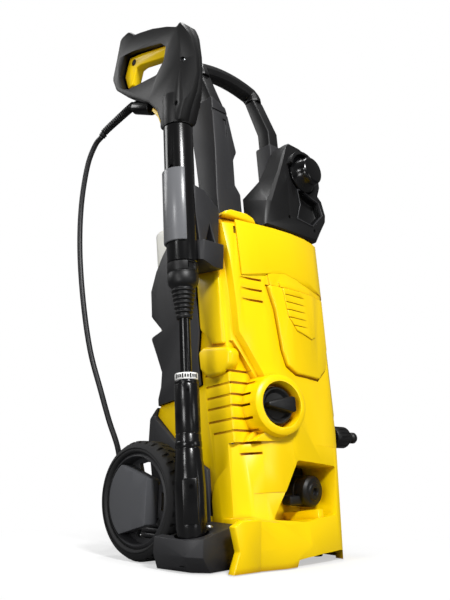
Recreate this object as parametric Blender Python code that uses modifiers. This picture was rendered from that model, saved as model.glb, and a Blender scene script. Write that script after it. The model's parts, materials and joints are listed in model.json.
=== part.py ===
"""Upright electric pressure washer with trigger gun, spray lance and telescopic handle.

Frame: metres, +Z up, the front faces -Y, +X is the machine's right seen from the front.
The origin is on the floor under the middle of the machine.
Upright pieces hang from the "machine" empty. The body leans back over the wheels, so its
pieces hang from the "lean" empty, whose local axes are x, v (depth behind the front) and
w (height along the lean).
"""
import math

import bmesh
import bpy
from mathutils import Matrix, Vector

MM = 0.001
GAP = 0.0003            # clearance between pieces that touch
WALL = 0.003            # moulded wall thickness

# --- wheels and stance -----------------------------------------------------------------
TRACK_HALF = 0.190      # middle of the machine to the outer face of a wheel
WHEEL_RADIUS = 0.084
TYRE_WIDTH = 0.045
TYRE_DEPTH = 0.017      # rubber thickness outside the rim
AXLE_RADIUS = 0.006
AXLE_Y = 0.022
HUB_PROUD = 0.003       # hub plate stands this far outside the tyre

# --- body ------------------------------------------------------------------------------
FRONT_Y = -0.133        # front of the body at floor level
LEAN = math.radians(8)
BODY_HALF = 0.118
DRAWN_HALF = 0.118      # the body's outlines are drawn for this half-width and stretched to BODY_HALF
BODY_TOP = 0.512
SPLIT_LOW = 0.060       # depth of the front shell beside the pump
CAVITY_FLOOR = 0.170    # below this the front shell is solid around the outlet recess
SKIRT_HEIGHT = 0.020
FLOOR_CLEAR = 0.001

# --- switch, outlet, inlet ---------------------------------------------------------------
SWITCH_X = -0.042
SWITCH_W = 0.222
SWITCH_RING_RADIUS = 0.048
SWITCH_RING_PROUD = 0.024
KNOB_RADIUS = 0.028
KNOB_ROOM = 0.0035      # gap round the switch knob
OUTLET_X = 0.047
OUTLET_Z = 0.099
OUTLET_RADIUS = 0.0235
OUTLET_LENGTH = 0.050
OUTLET_STEM = 0.090
INLET_W = 0.186
INLET_V = 0.012
INLET_RADIUS = 0.0175

# --- handle ------------------------------------------------------------------------------
HANDLE_X = 0.067        # middle of the machine to the middle of an arm
HANDLE_V = 0.036
ARM_WIDTH = 0.026
ARM_DEPTH = 0.026
ARM_BOTTOM = 0.400
ELBOW_W = 0.823
BEND_W = 0.728          # above this the arms lean back
BEND_BACK = 0.031       # how far the grip sits behind the arms' lower ends
GRIP_RADIUS = 0.015
SLEEVE_TOP = 0.700
SLIDE_CLEAR = 0.0006

# --- gun and lance -------------------------------------------------------------------------
LANCE_X = -0.178
LANCE_Y = -0.090        # where the lance axis meets LANCE_FOOT
LANCE_FOOT = 0.050
LANCE_LEAN = math.radians(5.7)
GUN_THICK = 0.036
BARREL_RADIUS = 0.0225
NOZZLE_RADIUS = 0.0212
HOLDER_BORE = 0.0235
HOLDER_OUT = 0.206       # middle of the machine to the outer face of the holder

# --- high-pressure hose ----------------------------------------------------------------------
HOSE_RADIUS = 0.0045

# --- drive -----------------------------------------------------------------------------------
PUMP_V = (0.068, 0.126)
PUMP_W = (0.0505, 0.250)
DRIVE_W = PUMP_W[1] + 0.012     # middle of the wobble disc
MOTOR_V = 0.084
MOTOR_RADIUS = 0.034
MOTOR_LENGTH = 0.130
MOTOR_LOW = DRIVE_W + 0.038
MOTOR_TOP = MOTOR_LOW + MOTOR_LENGTH

# --- origin ------------------------------------------------------------------------------------
MOST_FRONT = -0.1553      # front of the foot of the cover
MOST_REAR = 0.1208        # back of the handle of the gun
ORIGIN_X = (HOLDER_OUT - TRACK_HALF) / 2
ORIGIN_Y = -(MOST_FRONT + MOST_REAR) / 2


def mm(points):
    """Turn a list of points in millimetres into metres."""
    return [tuple(c * MM for c in p) for p in points]


def body_mm(points):
    """Points in millimetres whose first number is across the body, stretched to its width."""
    return [(a * BODY_HALF / DRAWN_HALF, *rest) for a, *rest in mm(points)]


def moved(points, across, up):
    return [(a + across, b + up) for a, b in points]


# ---------------------------------------------------------------------------------------------
# scene, materials and placing
# ---------------------------------------------------------------------------------------------
def clear_scene():
    for obj in list(bpy.data.objects):
        bpy.data.objects.remove(obj, do_unlink=True)


def new_collection(name):
    coll = bpy.data.collections.new(name)
    bpy.context.scene.collection.children.link(coll)
    return coll


clear_scene()
PARTS = new_collection("pressure_washer")
CUTTERS = new_collection("cutters")


def empty(name, location=(0, 0, 0), rotation=(0, 0, 0), parent=None):
    obj = bpy.data.objects.new(name, None)
    obj.location = location
    obj.rotation_euler = rotation
    obj.parent = parent
    obj.empty_display_size = 0.03
    PARTS.objects.link(obj)
    bpy.context.view_layer.update()
    return obj


MACHINE = empty("machine", (ORIGIN_X, ORIGIN_Y, 0))
LEANING = empty("lean", (0, FRONT_Y, 0), (-LEAN, 0, 0), MACHINE)

FINISHES = {
    "yellow_abs": ("#FFE000", 0.38, 0.0),
    "black_pa": ("#1B1B1D", 0.45, 0.0),
    "grey_pp": ("#3A3A3C", 0.55, 0.0),
    "tyre_pvc": ("#2A2A2B", 0.80, 0.0),
    "white_pom": ("#ECECEC", 0.40, 0.0),
    "natural_pe": ("#E6E4DC", 0.35, 0.0),
    "zinc_steel": ("#B8BABC", 0.35, 1.0),
    "brass": ("#C9A24B", 0.30, 1.0),
    "aluminium": ("#C4C6C8", 0.40, 1.0),
    "hose_pvc": ("#232325", 0.50, 0.0),
}


def finish(name):
    found = bpy.data.materials.get(name)
    if found:
        return found
    colour, rough, metal = FINISHES[name]
    mat = bpy.data.materials.new(name)
    mat.use_nodes = True
    shader = mat.node_tree.nodes["Principled BSDF"]
    rgb = [int(colour[i:i + 2], 16) / 255 for i in (1, 3, 5)]
    linear = [c / 12.92 if c <= 0.04045 else ((c + 0.055) / 1.055) ** 2.4 for c in rgb]
    shader.inputs["Base Color"].default_value = (*linear, 1)
    shader.inputs["Roughness"].default_value = rough
    shader.inputs["Metallic"].default_value = metal
    mat.diffuse_color = (*linear, 1)
    return mat


def add_mesh(name, bm, parent, location=(0, 0, 0), rotation=(0, 0, 0), coll=None):
    mesh = bpy.data.meshes.new(name)
    bm.to_mesh(mesh)
    bm.free()
    obj = bpy.data.objects.new(name, mesh)
    (coll or CUTTERS).objects.link(obj)
    obj.parent = parent
    obj.location = location
    obj.rotation_euler = rotation
    return obj


def piece(obj, name, mat, smooth=True):
    """Make a finished shape one of the washer's pieces."""
    for coll in list(obj.users_collection):
        coll.objects.unlink(obj)
    PARTS.objects.link(obj)
    obj.name = name
    obj.data.name = name
    obj.data.materials.clear()
    obj.data.materials.append(finish(mat))
    obj.hide_render = False
    obj.display_type = "TEXTURED"
    if smooth:
        obj.data.shade_smooth()
        obj.data.set_sharp_from_angle(angle=math.radians(35))
    return obj


def freeze(obj, flat=False):
    """Keep the shape that the modifiers give, as a plain closed mesh; flat joins its level faces."""
    bpy.context.view_layer.update()
    graph = bpy.context.evaluated_depsgraph_get()
    mesh = bpy.data.meshes.new_from_object(obj.evaluated_get(graph))
    bm = bmesh.new()
    bm.from_mesh(mesh)
    bmesh.ops.remove_doubles(bm, verts=bm.verts, dist=1e-6)
    if flat:
        bmesh.ops.dissolve_limit(bm, angle_limit=math.radians(0.3), verts=bm.verts, edges=bm.edges)
    bmesh.ops.recalc_face_normals(bm, faces=bm.faces)
    if bm.calc_volume(signed=True) < 0:
        bmesh.ops.reverse_faces(bm, faces=bm.faces)
    bm.to_mesh(mesh)
    bm.free()
    solid = bpy.data.objects.new(obj.name + "_solid", mesh)
    CUTTERS.objects.link(solid)
    solid.parent = obj.parent
    solid.matrix_local = obj.matrix_local.copy()
    bpy.data.objects.remove(obj, do_unlink=True)
    return solid


# ---------------------------------------------------------------------------------------------
# basic shapes; each returns an object that can be cut, joined or made a piece
# ---------------------------------------------------------------------------------------------
SIDE = (math.pi / 2, 0, math.pi / 2)     # outline (y, z), thickness along x
FRONT = (math.pi / 2, 0, 0)              # outline (x, z), thickness along y
PLAN = (0, 0, 0)                         # outline (x, y), thickness along z
PLANE_AXIS = {SIDE: Vector((1, 0, 0)), FRONT: Vector((0, 1, 0)), PLAN: Vector((0, 0, 1))}


def block(low, high, parent=MACHINE, edge=0.0, segments=2):
    """A box between two corners, with its edges rounded."""
    low, high = Vector(low), Vector(high)
    bm = bmesh.new()
    bmesh.ops.create_cube(bm, size=1)
    bmesh.ops.scale(bm, vec=high - low, verts=bm.verts)
    obj = add_mesh("block", bm, parent, (low + high) / 2)
    return rounded(obj, edge, segments)


def rounded(obj, edge, segments=2, angle=30):
    if edge <= 0:
        return obj
    mod = obj.modifiers.new("edges", "BEVEL")
    mod.width = edge
    mod.segments = segments
    mod.limit_method = "ANGLE"
    mod.angle_limit = math.radians(angle)
    mod.use_clamp_overlap = True
    return freeze(obj)


def plate(points, low, high, plane, parent=MACHINE, edge=0.0, segments=2, holes=(), angle=30):
    """A flat outline given a thickness from low to high along the plane's axis."""
    curve = bpy.data.curves.new("outline", "CURVE")
    curve.dimensions = "2D"
    curve.fill_mode = "BOTH"
    curve.extrude = (high - low) / 2
    for loop in (points, *holes):
        spline = curve.splines.new("POLY")
        spline.points.add(len(loop) - 1)
        for point, (a, b) in zip(spline.points, loop):
            point.co = (a, b, 0, 1)
        spline.use_cyclic_u = True
    obj = bpy.data.objects.new("plate", curve)
    CUTTERS.objects.link(obj)
    obj.parent = parent
    obj.rotation_euler = plane
    obj.location = PLANE_AXIS[plane] * (low + high) / 2
    return rounded(freeze(obj, edge > 0), edge, segments, angle)


def turned(profile, parent=MACHINE, location=(0, 0, 0), rotation=(0, 0, 0), steps=32):
    """A closed profile of (radius, height) points, running down its outer side, turned about z."""
    bm = bmesh.new()
    verts = [bm.verts.new((r, 0, z)) for r, z in profile]
    for a, b in zip(verts, verts[1:]):
        bm.edges.new((a, b))
    if profile[0][0] > 1e-6:
        bm.edges.new((verts[-1], verts[0]))
    obj = add_mesh("turned", bm, parent, location, rotation)
    mod = obj.modifiers.new("turn", "SCREW")
    mod.axis = "Z"
    mod.steps = steps
    mod.render_steps = steps
    mod.use_merge_vertices = True
    mod.merge_threshold = 1e-6
    return freeze(obj)


def rod(radius, low, high, parent=MACHINE, location=(0, 0, 0), rotation=(0, 0, 0), steps=24, edge=0.0):
    """A round bar from low to high along its own z, with chamfered ends."""
    profile = [(0, high), (radius - edge, high), (radius, high - edge),
               (radius, low + edge), (radius - edge, low), (0, low)]
    if edge <= 0:
        profile = [(0, high), (radius, high), (radius, low), (0, low)]
    return turned(profile, parent, location, rotation, steps)


def tube_path(points, radius, parent=MACHINE, resolution=3):
    """A round tube along points, closed at both ends."""
    curve = bpy.data.curves.new("path", "CURVE")
    curve.dimensions = "3D"
    curve.bevel_depth = radius
    curve.bevel_resolution = resolution
    curve.use_fill_caps = True
    spline = curve.splines.new("POLY")
    spline.points.add(len(points) - 1)
    for point, co in zip(spline.points, points):
        point.co = (*co, 1)
    obj = bpy.data.objects.new("tube", curve)
    CUTTERS.objects.link(obj)
    obj.parent = parent
    return freeze(obj)


def loft(sections, parent=MACHINE):
    """A solid through closed sections that have the same number of (x, y, z) points."""
    bm = bmesh.new()
    rings = [[bm.verts.new(p) for p in section] for section in sections]
    count = len(rings[0])
    for low, high in zip(rings, rings[1:]):
        for i in range(count):
            j = (i + 1) % count
            bm.faces.new((low[i], low[j], high[j], high[i]))
    caps = [bm.faces.new(rings[0]), bm.faces.new(rings[-1])]
    bmesh.ops.triangulate(bm, faces=caps)
    bmesh.ops.recalc_face_normals(bm, faces=bm.faces)
    return add_mesh("loft", bm, parent)


def beyond(a, b, c, parent=LEANING, size=0.4):
    """A large block whose near face lies in the plane through three points, seen anticlockwise from outside."""
    a, b, c = (Vector(p) for p in mm((a, b, c)))
    out = (b - a).cross(c - a).normalized()
    bm = bmesh.new()
    bmesh.ops.create_cube(bm, size=size)
    turn = out.to_track_quat("Z", "Y").to_matrix().to_4x4()
    bmesh.ops.transform(bm, matrix=Matrix.Translation((a + b + c) / 3 + out * size / 2) @ turn, verts=bm.verts)
    return add_mesh("beyond", bm, parent)


def combine(obj, others, operation):
    for other in others:
        other.hide_render = True
        other.display_type = "WIRE"
        mod = obj.modifiers.new(operation.lower(), "BOOLEAN")
        mod.operation = operation
        mod.solver = "EXACT"
        mod.object = other
    done = freeze(obj)
    for other in others:
        bpy.data.objects.remove(other, do_unlink=True)
    return done


def cut(obj, *others):
    return combine(obj, others, "DIFFERENCE")


def join(obj, *others):
    return combine(obj, others, "UNION")


def common(obj, *others):
    return combine(obj, others, "INTERSECT")


def arc(centre, radius, start, end, count):
    """Points on an arc, angles in degrees."""
    turn = [math.radians(start + (end - start) * i / (count - 1)) for i in range(count)]
    return [(centre[0] + radius * math.cos(t), centre[1] + radius * math.sin(t)) for t in turn]


# ---------------------------------------------------------------------------------------------
# body
# ---------------------------------------------------------------------------------------------
# side view (v, w) of the joint between the yellow front shell and the dark rear parts
JOINT_LINE = mm([(53, 560), (53, 455), (59, 395), (57, 345), (63, 312), (62, 262)])
TAIL_TOP = mm([(119, 250), (159, 247)])
TAIL_UNDER = mm([(167, 233), (123, 186), (100, 165)]) + [(SPLIT_LOW, 0.140)]
BEHIND = 0.260          # a depth behind everything
LOUVRE_V = 0.006        # depth of the louvred field beside the switch
LOUVRE_WIDE = 0.0035


def shell_plan(back=0.200):
    """Plan (x, v) of the plain front shell: flat left side, soft corners, bowed front."""
    return body_mm([(-112, back / MM), (-112, 9), (-108, 3), (-95, 0), (-60, -5), (-20, -11), (20, -12), (60, -9),
                    (105, -4), (118, 4), (118, back / MM)])


def panel_plan(proud=0.0, back=0.200):
    """Plan of the raised front panel, moved forward by proud."""
    line = body_mm([(-122, 4), (-118, -5), (-106, -10), (-90, -13.5), (-60, -17.5), (-30, -20.8), (0, -22),
                    (30, -20.8), (60, -17.5), (90, -12.5), (104, -9.5), (113, -5), (117, 2)])
    line = [(line[0][0], back)] + moved(line, 0, -proud) + [(line[-1][0], back)]
    return line


def on_panel(outline, proud):
    """A flat-edged field that stands proud of the front panel."""
    field = plate(panel_plan(proud, 0.010), 0.25, 0.46, PLAN, LEANING)
    return common(field, plate(body_mm(outline), -0.05, 0.02, FRONT, LEANING))


def rear_outline(inset=0.0):
    """Side outline (v, w) of the rear shell with its two rounded lobes."""
    pts = mm([(20, 512), (112, 511), (134, 489), (152, 466), (167, 436), (168, 403), (171, 354), (161, 327),
              (151, 298), (155, 276), (163, 258), (163, 200), (20, 200)])
    middle = Vector((0.075, 0.37))
    out = []
    for p in pts:
        d = Vector(p) - middle
        out.append(tuple(middle + d * (1 - inset / d.length)))
    return out


def arm_holes(low, high):
    """Cutters for the two handle arms where they pass through the shells."""
    out = []
    for side in (-1, 1):
        half = ARM_WIDTH / 2 + SLIDE_CLEAR
        deep = ARM_DEPTH / 2 + SLIDE_CLEAR
        out.append(block((side * HANDLE_X - half, HANDLE_V - deep, low),
                         (side * HANDLE_X + half, HANDLE_V + deep, high), LEANING))
    return out


def switch_axis():
    """Direction in which the switch faces: forwards and a little to the machine's left."""
    return (math.pi / 2, 0, math.radians(-14))


def lower_block():
    """The full lower part of the front, with a hip that slopes down to the left side."""
    plan = body_mm([(-118, 100), (-118, 40), (-112, 22), (-96, 4), (-75, -9), (-40, -18), (0, -22), (50, -20),
                    (90, -15), (108, -11), (118, 0), (118, 100)])
    hip = mm([(-80, -60), (-80, 172), (-30, 172), (0, 157), (30, 135), (48, 116), (54, 96), (54, -60)])
    return common(plate(plan, -0.05, 0.171, PLAN, LEANING), plate(hip, -0.3, 0.3, SIDE, LEANING))


def plinth():
    """Foot of the front: flares out to the floor, with a fin at the left in front of the holder."""
    floor = body_mm([(-117, -60), (-117, -148), (-58, -155.5), (0, -153), (66, -146), (99, -135), (117.6, -116),
                     (117.6, -60)])
    brow = body_mm([(-117, -60), (-117, -137), (-58, -143), (-19, -143.5), (62, -139), (96, -130), (116, -112),
                    (117, -60)])
    rise = (0.066, 0.066, 0.060, 0.049, 0.062, 0.066, 0.066, 0.066)
    foot = loft([[(x, y, -0.004) for x, y in floor], [(x, y + 0.0015, 0.028) for x, y in floor],
                 [(x, y, z) for (x, y), z in zip(brow, rise)]])
    fin = plate(body_mm([(-106, -4), (-160, -4), (-147, 28), (-158, 60), (-142, 67), (-106, 67)]), -0.150, -0.138,
                FRONT, MACHINE, edge=0.002)
    return foot, fin


def left_column():
    """Column and pouch that stand out on the left side of the front shell."""
    side, out = -BODY_HALF, -BODY_HALF + 0.020
    column = plate(mm([(9, 456), (57, 456), (57, 345), (43, 330), (38, 318), (9, 313)]), side, out, SIDE, LEANING,
                   edge=0.005)
    pouch = plate(mm([(62, 312), (50, 317), (2, 308), (-6, 300), (-2, 281), (15, 270), (44, 269), (61, 284)]),
                  side - 0.002, out, SIDE, LEANING, edge=0.006, segments=3)
    return column, pouch


def front_cover():
    shell = plate(shell_plan(), -0.05, BODY_TOP, PLAN, LEANING, edge=0.004, angle=65)
    field = plate(body_mm([(-140, 318), (-104, 318), (-66, 262), (-66, 190), (-84, 184), (-100, 166), (-140, 145)]),
                  -0.1, LOUVRE_V, FRONT, LEANING)
    shell = cut(shell, field)
    outline = body_mm([(-117, 505), (-108, 442), (-104, 380), (-103, 330), (-62, 264), (-62, 190), (-90, 172),
                       (-104, 160), (-104, 100), (117, 100), (117, 505)])
    panel = common(plate(panel_plan(), 0.1, BODY_TOP - 0.012, PLAN, LEANING, edge=0.0015),
                   plate(outline, -0.05, 0.180, FRONT, LEANING))
    inner = on_panel([(-41, 440), (-30, 370), (-23, 308), (-15, 284), (4.5, 273), (63, 270), (89, 289), (101, 324),
                      (103, 440)], 0.0016)
    grille = on_panel([(-17, 417), (71, 417), (59, 337), (10, 341), (-8, 362)], 0.0034)
    ring = turned([(0, SWITCH_RING_PROUD + 0.012), (SWITCH_RING_RADIUS - 0.010, SWITCH_RING_PROUD + 0.012),
                   (SWITCH_RING_RADIUS - 0.004, SWITCH_RING_PROUD + 0.009),
                   (SWITCH_RING_RADIUS + 0.006, -0.014), (0, -0.014)],
                  LEANING, (SWITCH_X, 0.0, SWITCH_W), switch_axis(), 40)
    shell = join(shell, panel, inner, grille, lower_block(), ring, *left_column(), *plinth())
    # the right front edge falls back towards the floor
    shell = cut(shell, beyond((110, -12.3, 285), (95, -8, 58), (112, 4.5, 58)),
                plate(JOINT_LINE + TAIL_TOP + TAIL_UNDER + [(SPLIT_LOW, -0.06), (BEHIND, -0.06), (BEHIND, 0.56)],
                      -0.3, 0.3, SIDE, LEANING))
    slots = [block((-0.140, -0.01, w), (-0.074, LOUVRE_V + 0.0035, w + LOUVRE_WIDE), LEANING)
             for w in (0.153, 0.168, 0.186, 0.203, 0.222, 0.238, 0.255, 0.272)]
    slots += [block((-0.094, -0.05, w), (-0.052, -0.0125, w + LOUVRE_WIDE), LEANING) for w in (0.378, 0.395, 0.412)]
    slots += [block((-0.03, -0.05, w), (0.09, -0.0215, w + 0.003), LEANING) for w in (0.353, 0.366, 0.379, 0.392, 0.405)]
    slots += [block((x - 0.002, -0.05, w - 0.006), (x + 0.002, -0.004, w + 0.006), LEANING)
              for x, w in ((-0.096, 0.490), (-0.090, 0.446))]
    shell = cut(shell, *slots)
    return piece(cut(shell, *front_hollows()), "front_cover", "yellow_abs")


def front_hollows():
    """Everything that is taken out of the front shell: inside, underside, recesses and bores."""
    inside = body_mm([(-109, 300), (-109, 14), (-64, 14), (-50, -2), (0, -8), (50, -6), (98, -2), (113, 10), (115, 300)])
    cavity = plate(inside, CAVITY_FLOOR, BODY_TOP - WALL, PLAN, LEANING)
    pump_room = block((-0.098, SPLIT_LOW - 0.028, 0.100), (0.098, 0.3, 0.300), LEANING)
    under = block((-0.3, -0.4, -0.2), (0.3, 0.4, FLOOR_CLEAR))
    skirt = block((-BODY_HALF + 0.008, FRONT_Y + 0.006, -0.02), (BODY_HALF - 0.008, 0.2, SKIRT_HEIGHT))
    arch = plate(body_mm([(-52, -30), (-30, 10), (20, 14), (72, 16), (88, 14), (94, -30)]), -0.2, 0.0, FRONT)
    recess = plate(body_mm([(-12, 144), (-66, 63), (-8, 57), (73, 65), (85, 136)]), -0.06, 0.055, FRONT, LEANING,
                   edge=0.004)
    recess = cut(recess, block((0.034, -0.014, 0.02), (0.046, 0.07, 0.074), LEANING, edge=0.002))
    hole = rod(0.0135, -0.2, 0.2, MACHINE, (OUTLET_X, 0, OUTLET_Z), (math.pi / 2, 0, 0))
    seat = turned([(0, 0.1), (KNOB_RADIUS + 0.012, 0.1), (KNOB_RADIUS + KNOB_ROOM, SWITCH_RING_PROUD - 0.012),
                   (0, SWITCH_RING_PROUD - 0.012)],
                  LEANING, (SWITCH_X, 0.0, SWITCH_W), switch_axis(), 40)
    spindle = rod(0.0042, -0.06, 0.08, LEANING, (SWITCH_X, 0, SWITCH_W), switch_axis())
    inlet = rod(0.0135, 0, 0.1, LEANING, (BODY_HALF - 0.06, INLET_V, INLET_W), (0, math.pi / 2, 0))
    bay = plate(mm([(-30, 124), (-30, 208), (6, 221), (34, 221), (34, 119), (2, 116)]), BODY_HALF - 0.011,
                BODY_HALF + 0.05, SIDE, LEANING, edge=0.003)
    return [cavity, pump_room, under, skirt, arch, recess, hole, seat, spindle, inlet, bay, *arm_holes(0.45, 0.6)]


def rear_cover():
    shell = plate(rear_outline(), -BODY_HALF, BODY_HALF, SIDE, LEANING, edge=0.008, segments=2)
    above = moved(JOINT_LINE + TAIL_TOP, GAP, GAP)
    above += [(BEHIND, above[-1][1]), (BEHIND, 0.56)]
    shell = common(shell, plate(above, -0.3, 0.3, SIDE, LEANING))
    inner = plate(rear_outline(0.008), -BODY_HALF + WALL, BODY_HALF - WALL, SIDE, LEANING)
    low, high = bottle_box(0.001)
    inner = cut(inner, block([c - WALL for c in low], [c + WALL for c in high], LEANING))
    notch = plate(mm([(210, 402), (164, 392), (140, 364), (174, 356), (210, 350)]), -0.2, low[0] + 0.001, SIDE, LEANING)
    throat = block((-0.075, 0.02, 0.15), (0.075, PUMP_V[1] + 0.002, PUMP_W[1] + 0.024), LEANING)
    shell = cut(shell, inner, throat)
    floor = bottle_box()[0][2]
    shell = cut(shell, block((low[0], low[1], floor), (high[0], 0.3, 0.7), LEANING), notch)
    shell = cut(shell, *arm_holes(0.45, 0.6))
    return piece(shell, "rear_cover", "grey_pp")


def bottle_box(room=0.0):
    """Corners of the bay of the detergent bottle in the lean frame, grown by room."""
    low = (-BODY_HALF + 0.010 - room, 0.116 - room, 0.334 - room)
    high = (-BODY_HALF + 0.078 + room, 0.160 + room, 0.540 + room)
    return low, high


def bottle():
    """Detergent bottle, stored upside down: its neck and cap point down into the bay."""
    low, high = bottle_box()
    shoulder = low[2] + 0.0203
    body = block((low[0], low[1], shoulder), high, LEANING, edge=0.010, segments=3)
    middle = [(a + b) / 2 for a, b in zip(low, high)]
    neck = rod(0.0125, shoulder - 0.018, shoulder + 0.004, LEANING, (middle[0], middle[1], 0), steps=20)
    piece(join(body, neck), "detergent_bottle", "natural_pe")
    cap = turned([(0, 0.0017), (0.0128, 0.0017), (0.0128, 0.016), (0.016, 0.016), (0.016, 0.002), (0.014, 0.0),
                  (0, 0.0)], LEANING, (middle[0], middle[1], shoulder - 0.018 - 0.002), (0, 0, 0), 24)
    piece(cap, "bottle_cap", "black_pa")


def chassis():
    """Black lower frame: carries the axle, the motor and the rear shell."""
    front = SPLIT_LOW + GAP
    outline = [(front, 0.008)] + moved(TAIL_UNDER[:0:-1], GAP, -GAP)
    outline += mm([(170, 232), (162, 246), (181, 230), (187, 196), (182, 120), (180, 75), (150, 40), (130, 8)])
    body = plate(outline, -BODY_HALF, BODY_HALF, SIDE, LEANING, edge=0.003)
    body = cut(body, block((-0.3, -0.4, -0.2), (0.3, 0.4, 0.008)))
    bore = rod(AXLE_RADIUS + GAP, -0.3, 0.3, MACHINE, (0, AXLE_Y, WHEEL_RADIUS), (0, math.pi / 2, 0))
    well = block((-0.098, front + WALL, PUMP_W[0] - GAP), (0.098, 0.144, 0.4), LEANING)
    hollow = block((-0.098, 0.150, 0.045), (0.098, 0.172, 0.4), LEANING)
    port = rod(0.0135, -0.04, 0.2, MACHINE, (OUTLET_X, 0, OUTLET_Z), (math.pi / 2, 0, 0))
    body = cut(body, bore, well, hollow, port)
    return piece(body, "chassis", "grey_pp")


def brand_band():
    """Bowed yellow panel across the top of the front, bare."""
    plan = body_mm([(-96, 30), (-96, -15), (-60, -20), (-20, -24.6), (20, -26), (60, -23.5), (90, -17), (106, -11.5),
                    (114, -6), (116.5, 1), (116.5, 30)])
    band = plate(plan, 0.400, 0.506, PLAN, LEANING)
    left = body_mm([(-96, 520), (-90, 395), (130, 395), (130, 520)])
    band = common(band, plate(left, -0.1, 0.1, FRONT, LEANING))
    chin = plate(mm([(-60, 390), (-60, 437), (-26, 430), (-15, 418), (0, 410), (40, 410), (40, 390)]), -0.2, 0.2,
                 SIDE, LEANING)
    band = cut(band, chin)
    band = rounded(band, 0.003, 2, 40)
    keep = common(plate(panel_plan(GAP), 0.3, 0.6, PLAN, LEANING), block((-0.2, -0.1, 0.3), (0.2, 0.2, 0.6), LEANING))
    grille = on_panel([(-18, 419), (72, 419), (72, 400), (-18, 400)], 0.0034 + GAP)
    inner = on_panel([(-44, 455), (-39, 400), (104, 400), (104, 455)], 0.0016 + GAP)
    band = cut(band, keep, inner, grille)
    return piece(band, "brand_band", "yellow_abs")


def tower_cap():
    """Rounded yellow shoulder beside the band."""
    outline = body_mm([(-112, 512.3), (-110, 519), (-96, 525), (-62, 527), (-46, 523), (-39, 512.3)])
    cap = plate(outline, -0.010, 0.008, FRONT, LEANING, edge=0.003)
    return piece(cap, "tower_cap", "yellow_abs")


# ---------------------------------------------------------------------------------------------
# wheels
# ---------------------------------------------------------------------------------------------
RIM_RADIUS = WHEEL_RADIUS - TYRE_DEPTH


def wheel(side, tag):
    """Tyre, rim and hub plate of one wheel; side is -1 on the left and 1 on the right."""
    axis = empty(tag + "_wheel_axis", (side * TRACK_HALF, AXLE_Y, WHEEL_RADIUS), (side * math.pi / 2, 0, math.pi / 2),
                 MACHINE)
    half = TYRE_WIDTH
    face = -HUB_PROUD
    tyre = turned([(WHEEL_RADIUS - 0.010, face), (WHEEL_RADIUS - 0.004, face - 0.003),
                   (WHEEL_RADIUS, face - 0.010), (WHEEL_RADIUS, face - half + 0.010),
                   (WHEEL_RADIUS - 0.006, face - half + 0.002), (RIM_RADIUS + 0.004, face - half),
                   (RIM_RADIUS, face - half + 0.004), (RIM_RADIUS, face - 0.004), (RIM_RADIUS + 0.004, face)],
                  axis, steps=36)
    piece(tyre, tag + "_tyre", "tyre_pvc")
    rim = turned([(RIM_RADIUS - 0.005, face - 0.002), (RIM_RADIUS - GAP, face - 0.005),
                  (RIM_RADIUS - GAP, face - half + 0.006), (RIM_RADIUS - 0.006, face - half + 0.006),
                  (RIM_RADIUS - 0.008, face - 0.030), (0.016, face - 0.030), (0.016, face - half),
                  (AXLE_RADIUS + GAP, face - half), (AXLE_RADIUS + GAP, face - 0.022),
                  (RIM_RADIUS - 0.0065, face - 0.022)], axis, steps=36)
    windows = []
    for low, high in ((70, 140), (160, 200), (220, 290)):
        ring = arc((0, 0), 0.054, low, high, 6) + arc((0, 0), 0.034, high, low, 4)
        windows.append(plate(ring, face - 0.06, 0.02, PLAN, axis))
    rim = cut(rim, *windows)
    piece(rim, tag + "_rim", "grey_pp")
    plate_outline = arc((0, 0), 0.059, -56, 56, 13)
    plate_outline += mm([(-27, 32), (-28, -31)])
    hub = plate(plate_outline, face - 0.022 + GAP, face + HUB_PROUD, PLAN, axis, edge=0.002)
    piece(hub, tag + "_hub_plate", "grey_pp")
    return axis


# ---------------------------------------------------------------------------------------------
# front fittings
# ---------------------------------------------------------------------------------------------
def switch_knob():
    axis = empty("switch_axis", (SWITCH_X, 0.0, SWITCH_W), switch_axis(), LEANING)
    floor = SWITCH_RING_PROUD - 0.012 + GAP
    top = SWITCH_RING_PROUD + 0.004
    r = KNOB_RADIUS
    knob = turned([(0, top - 0.008), (r - 0.009, top - 0.008), (r - 0.004, top - 0.003), (r - 0.0015, top - 0.003),
                   (r, top - 0.005), (r, floor), (0, floor)], axis, steps=36)
    wing = plate([(-r + 0.005, -0.003), (r - 0.008, -0.012), (r - 0.0035, -0.010), (r - 0.0035, 0.010),
                  (r - 0.008, 0.012), (-r + 0.005, 0.003)], floor, top + 0.009, PLAN, axis, edge=0.002)
    stem = rod(0.0038, -0.030, floor + 0.002, axis, steps=16)
    knob = join(knob, wing, stem)
    return piece(knob, "switch_knob", "black_pa")


def outlet_fitting():
    tip = FRONT_Y + 0.012
    spot = (OUTLET_X, tip, OUTLET_Z)
    r = OUTLET_RADIUS
    body = turned([(0, -0.006), (0.005, -0.006), (0.006, 0.0), (r - 0.011, 0.0), (r - 0.010, -0.002),
                   (r - 0.004, -0.002), (r, -0.006), (r, -0.020), (r - 0.001, -0.021), (r - 0.001, -0.024),
                   (r, -0.025), (r, -OUTLET_LENGTH), (0.013, -OUTLET_LENGTH), (0.013, -OUTLET_STEM),
                   (0, -OUTLET_STEM)],
                  MACHINE, spot, (math.pi / 2, 0, 0), 32)
    latch = block((OUTLET_X - r - 0.020, tip + 0.012, OUTLET_Z - 0.020), (OUTLET_X - 0.010, tip + 0.030, OUTLET_Z - 0.006),
                  MACHINE, edge=0.003)
    return piece(join(body, latch), "outlet_fitting", "black_pa")


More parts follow.
